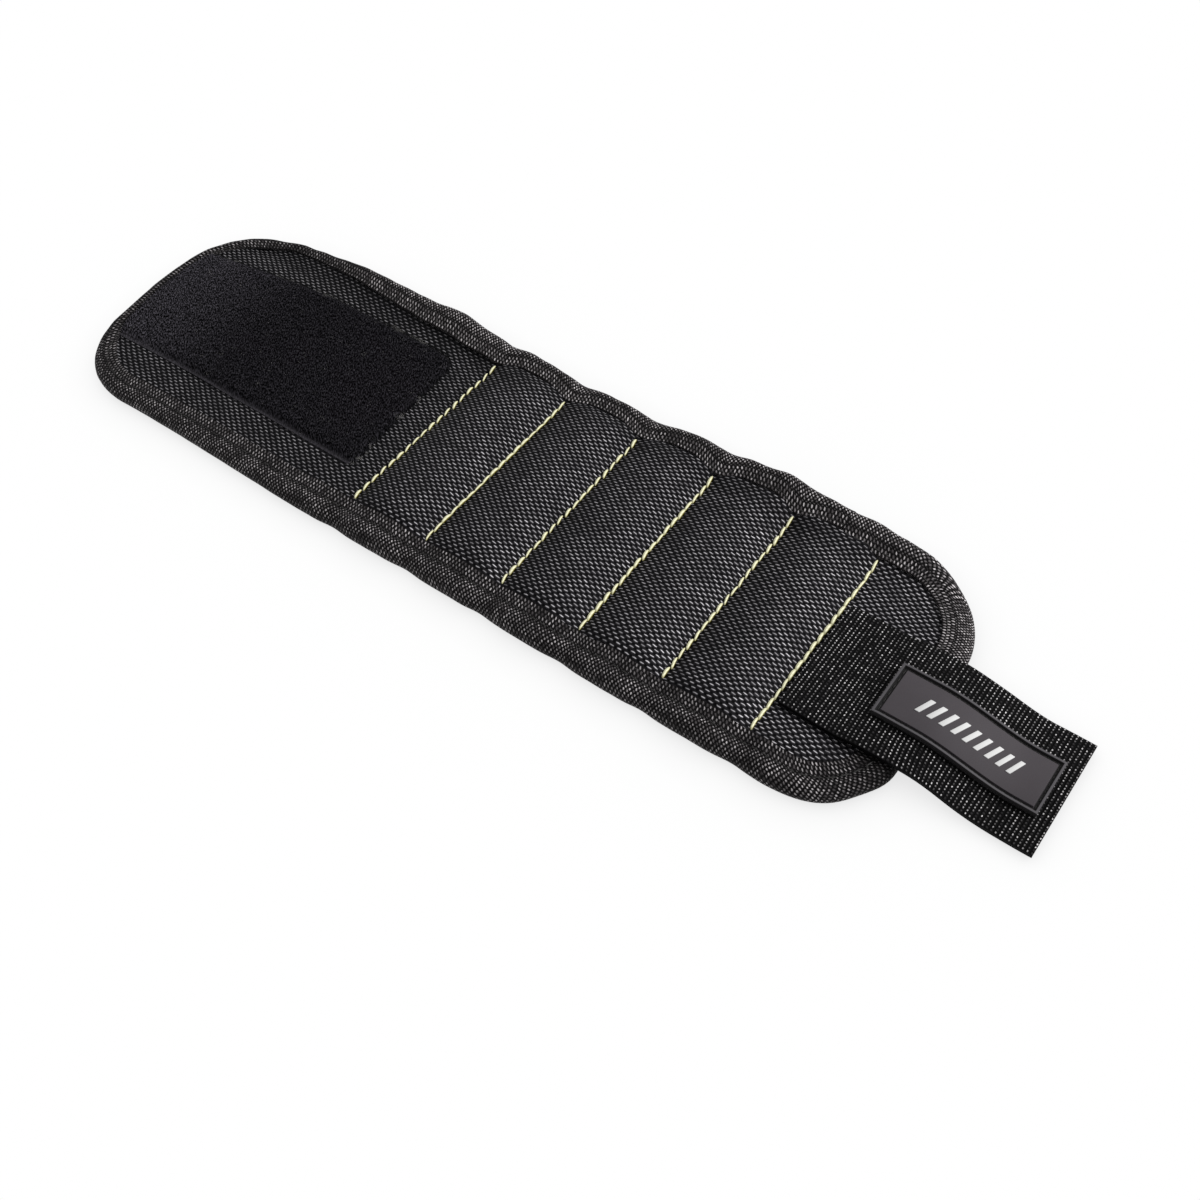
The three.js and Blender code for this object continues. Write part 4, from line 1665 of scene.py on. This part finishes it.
def makeFloor():
    # white paper that lets the sight through and keeps the soft shadow of what stands on it
    bm = bmesh.new()
    bmesh.ops.create_grid(bm, x_segments=1, y_segments=1, size=floorPaper["size"] / 2)
    mesh = bpy.data.meshes.new("floor")
    bm.to_mesh(mesh)
    bm.free()
    paper = bpy.data.objects.new("floor", mesh)
    scene.collection.objects.link(paper)
    finish = Finish("paper")
    seen = Field(finish, finish.node("ShaderNodeLightPath", {}, {}).outputs["Is Camera Ray"])
    settings = {"samples": floorPaper["samples"]}
    wide, close = [
        Field(finish, finish.node("ShaderNodeAmbientOcclusion", settings, {"Distance": reach}).outputs["AO"])
        for reach in (floorPaper["wide"], floorPaper["close"])
    ]
    shade = (2 - wide - close) * floorPaper["shade"] * seen
    clear = finish.node("ShaderNodeBsdfTransparent", {}, {}).outputs[0]
    dark = finish.node("ShaderNodeEmission", {}, {"Color": floorPaper["colour"], "Strength": 1.0}).outputs[0]
    both = finish.node("ShaderNodeMixShader", {}, {0: shade, 1: clear, 2: dark}).outputs[0]
    finish.feed(finish.tree.nodes["Material Output"].inputs["Surface"], both)
    mesh.materials.append(finish.owner)


lighting = {
    "ambient": 0.34,
    "key": (1.12, 0.75, 0.98),
    "keyPower": 25,
    "keySize": 0.7,
}


def makeLight():
    world = bpy.data.worlds.new("studio")
    scene.world = world
    finish = Finish("studio", world)
    path = finish.node("ShaderNodeLightPath", {}, {}).outputs
    direct = sum([Field(finish, path[name]) for name in ("Is Glossy Ray", "Is Transmission Ray")],
                 Field(finish, path["Is Camera Ray"]))
    strength = lighting["ambient"] + direct.op("MINIMUM", 1) * (1 - lighting["ambient"])
    ground = finish.tree.nodes["Background"]
    finish.feed(ground.inputs["Color"], rgb(1, 1, 1))
    finish.feed(ground.inputs["Strength"], strength)
    lamp = bpy.data.lights.new("key", "AREA")
    lamp.energy = lighting["keyPower"]
    lamp.size = lighting["keySize"]
    holder = bpy.data.objects.new("key", lamp)
    scene.collection.objects.link(holder)
    holder.location = lighting["key"]
    holder.rotation_mode = "QUATERNION"
    holder.rotation_quaternion = (-holder.location).to_track_quat("-Z", "Y")


scene.view_settings.view_transform = "Standard"
makeCamera()
makeFloor()
makeLight()
print("stage done")

blackThread = threadFinish("black thread", rgb(0.004, 0.004, 0.004), rgb(0.03, 0.029, 0.028), 0.55)
yellowThread = threadFinish("yellow thread", rgb(0.2, 0.165, 0.004), rgb(1.0, 0.985, 0.68), 0.5)
paleRubber = rubberFinish("pale rubber", rgb(0.68, 0.68, 0.68), rgb(0.82, 0.82, 0.81)).owner
makeLining(liningFinish())
makeFace(faceFinish())
makeBinding(bindingFinish(), blackThread)
makeThread(yellowThread)
makeLoopTape(napFinish(), fibreFinish())
makeStrap(webbingFinish())
makePlate(plateFinish(), blackThread, paleRubber)
makeHooks(hookFinish())

nickel = nickelFinish()
for name, node in frame["nodes"].items():
    if name.startswith("magnet"):
        node.data.materials.clear()
        node.data.materials.append(nickel)
print("finishes done")
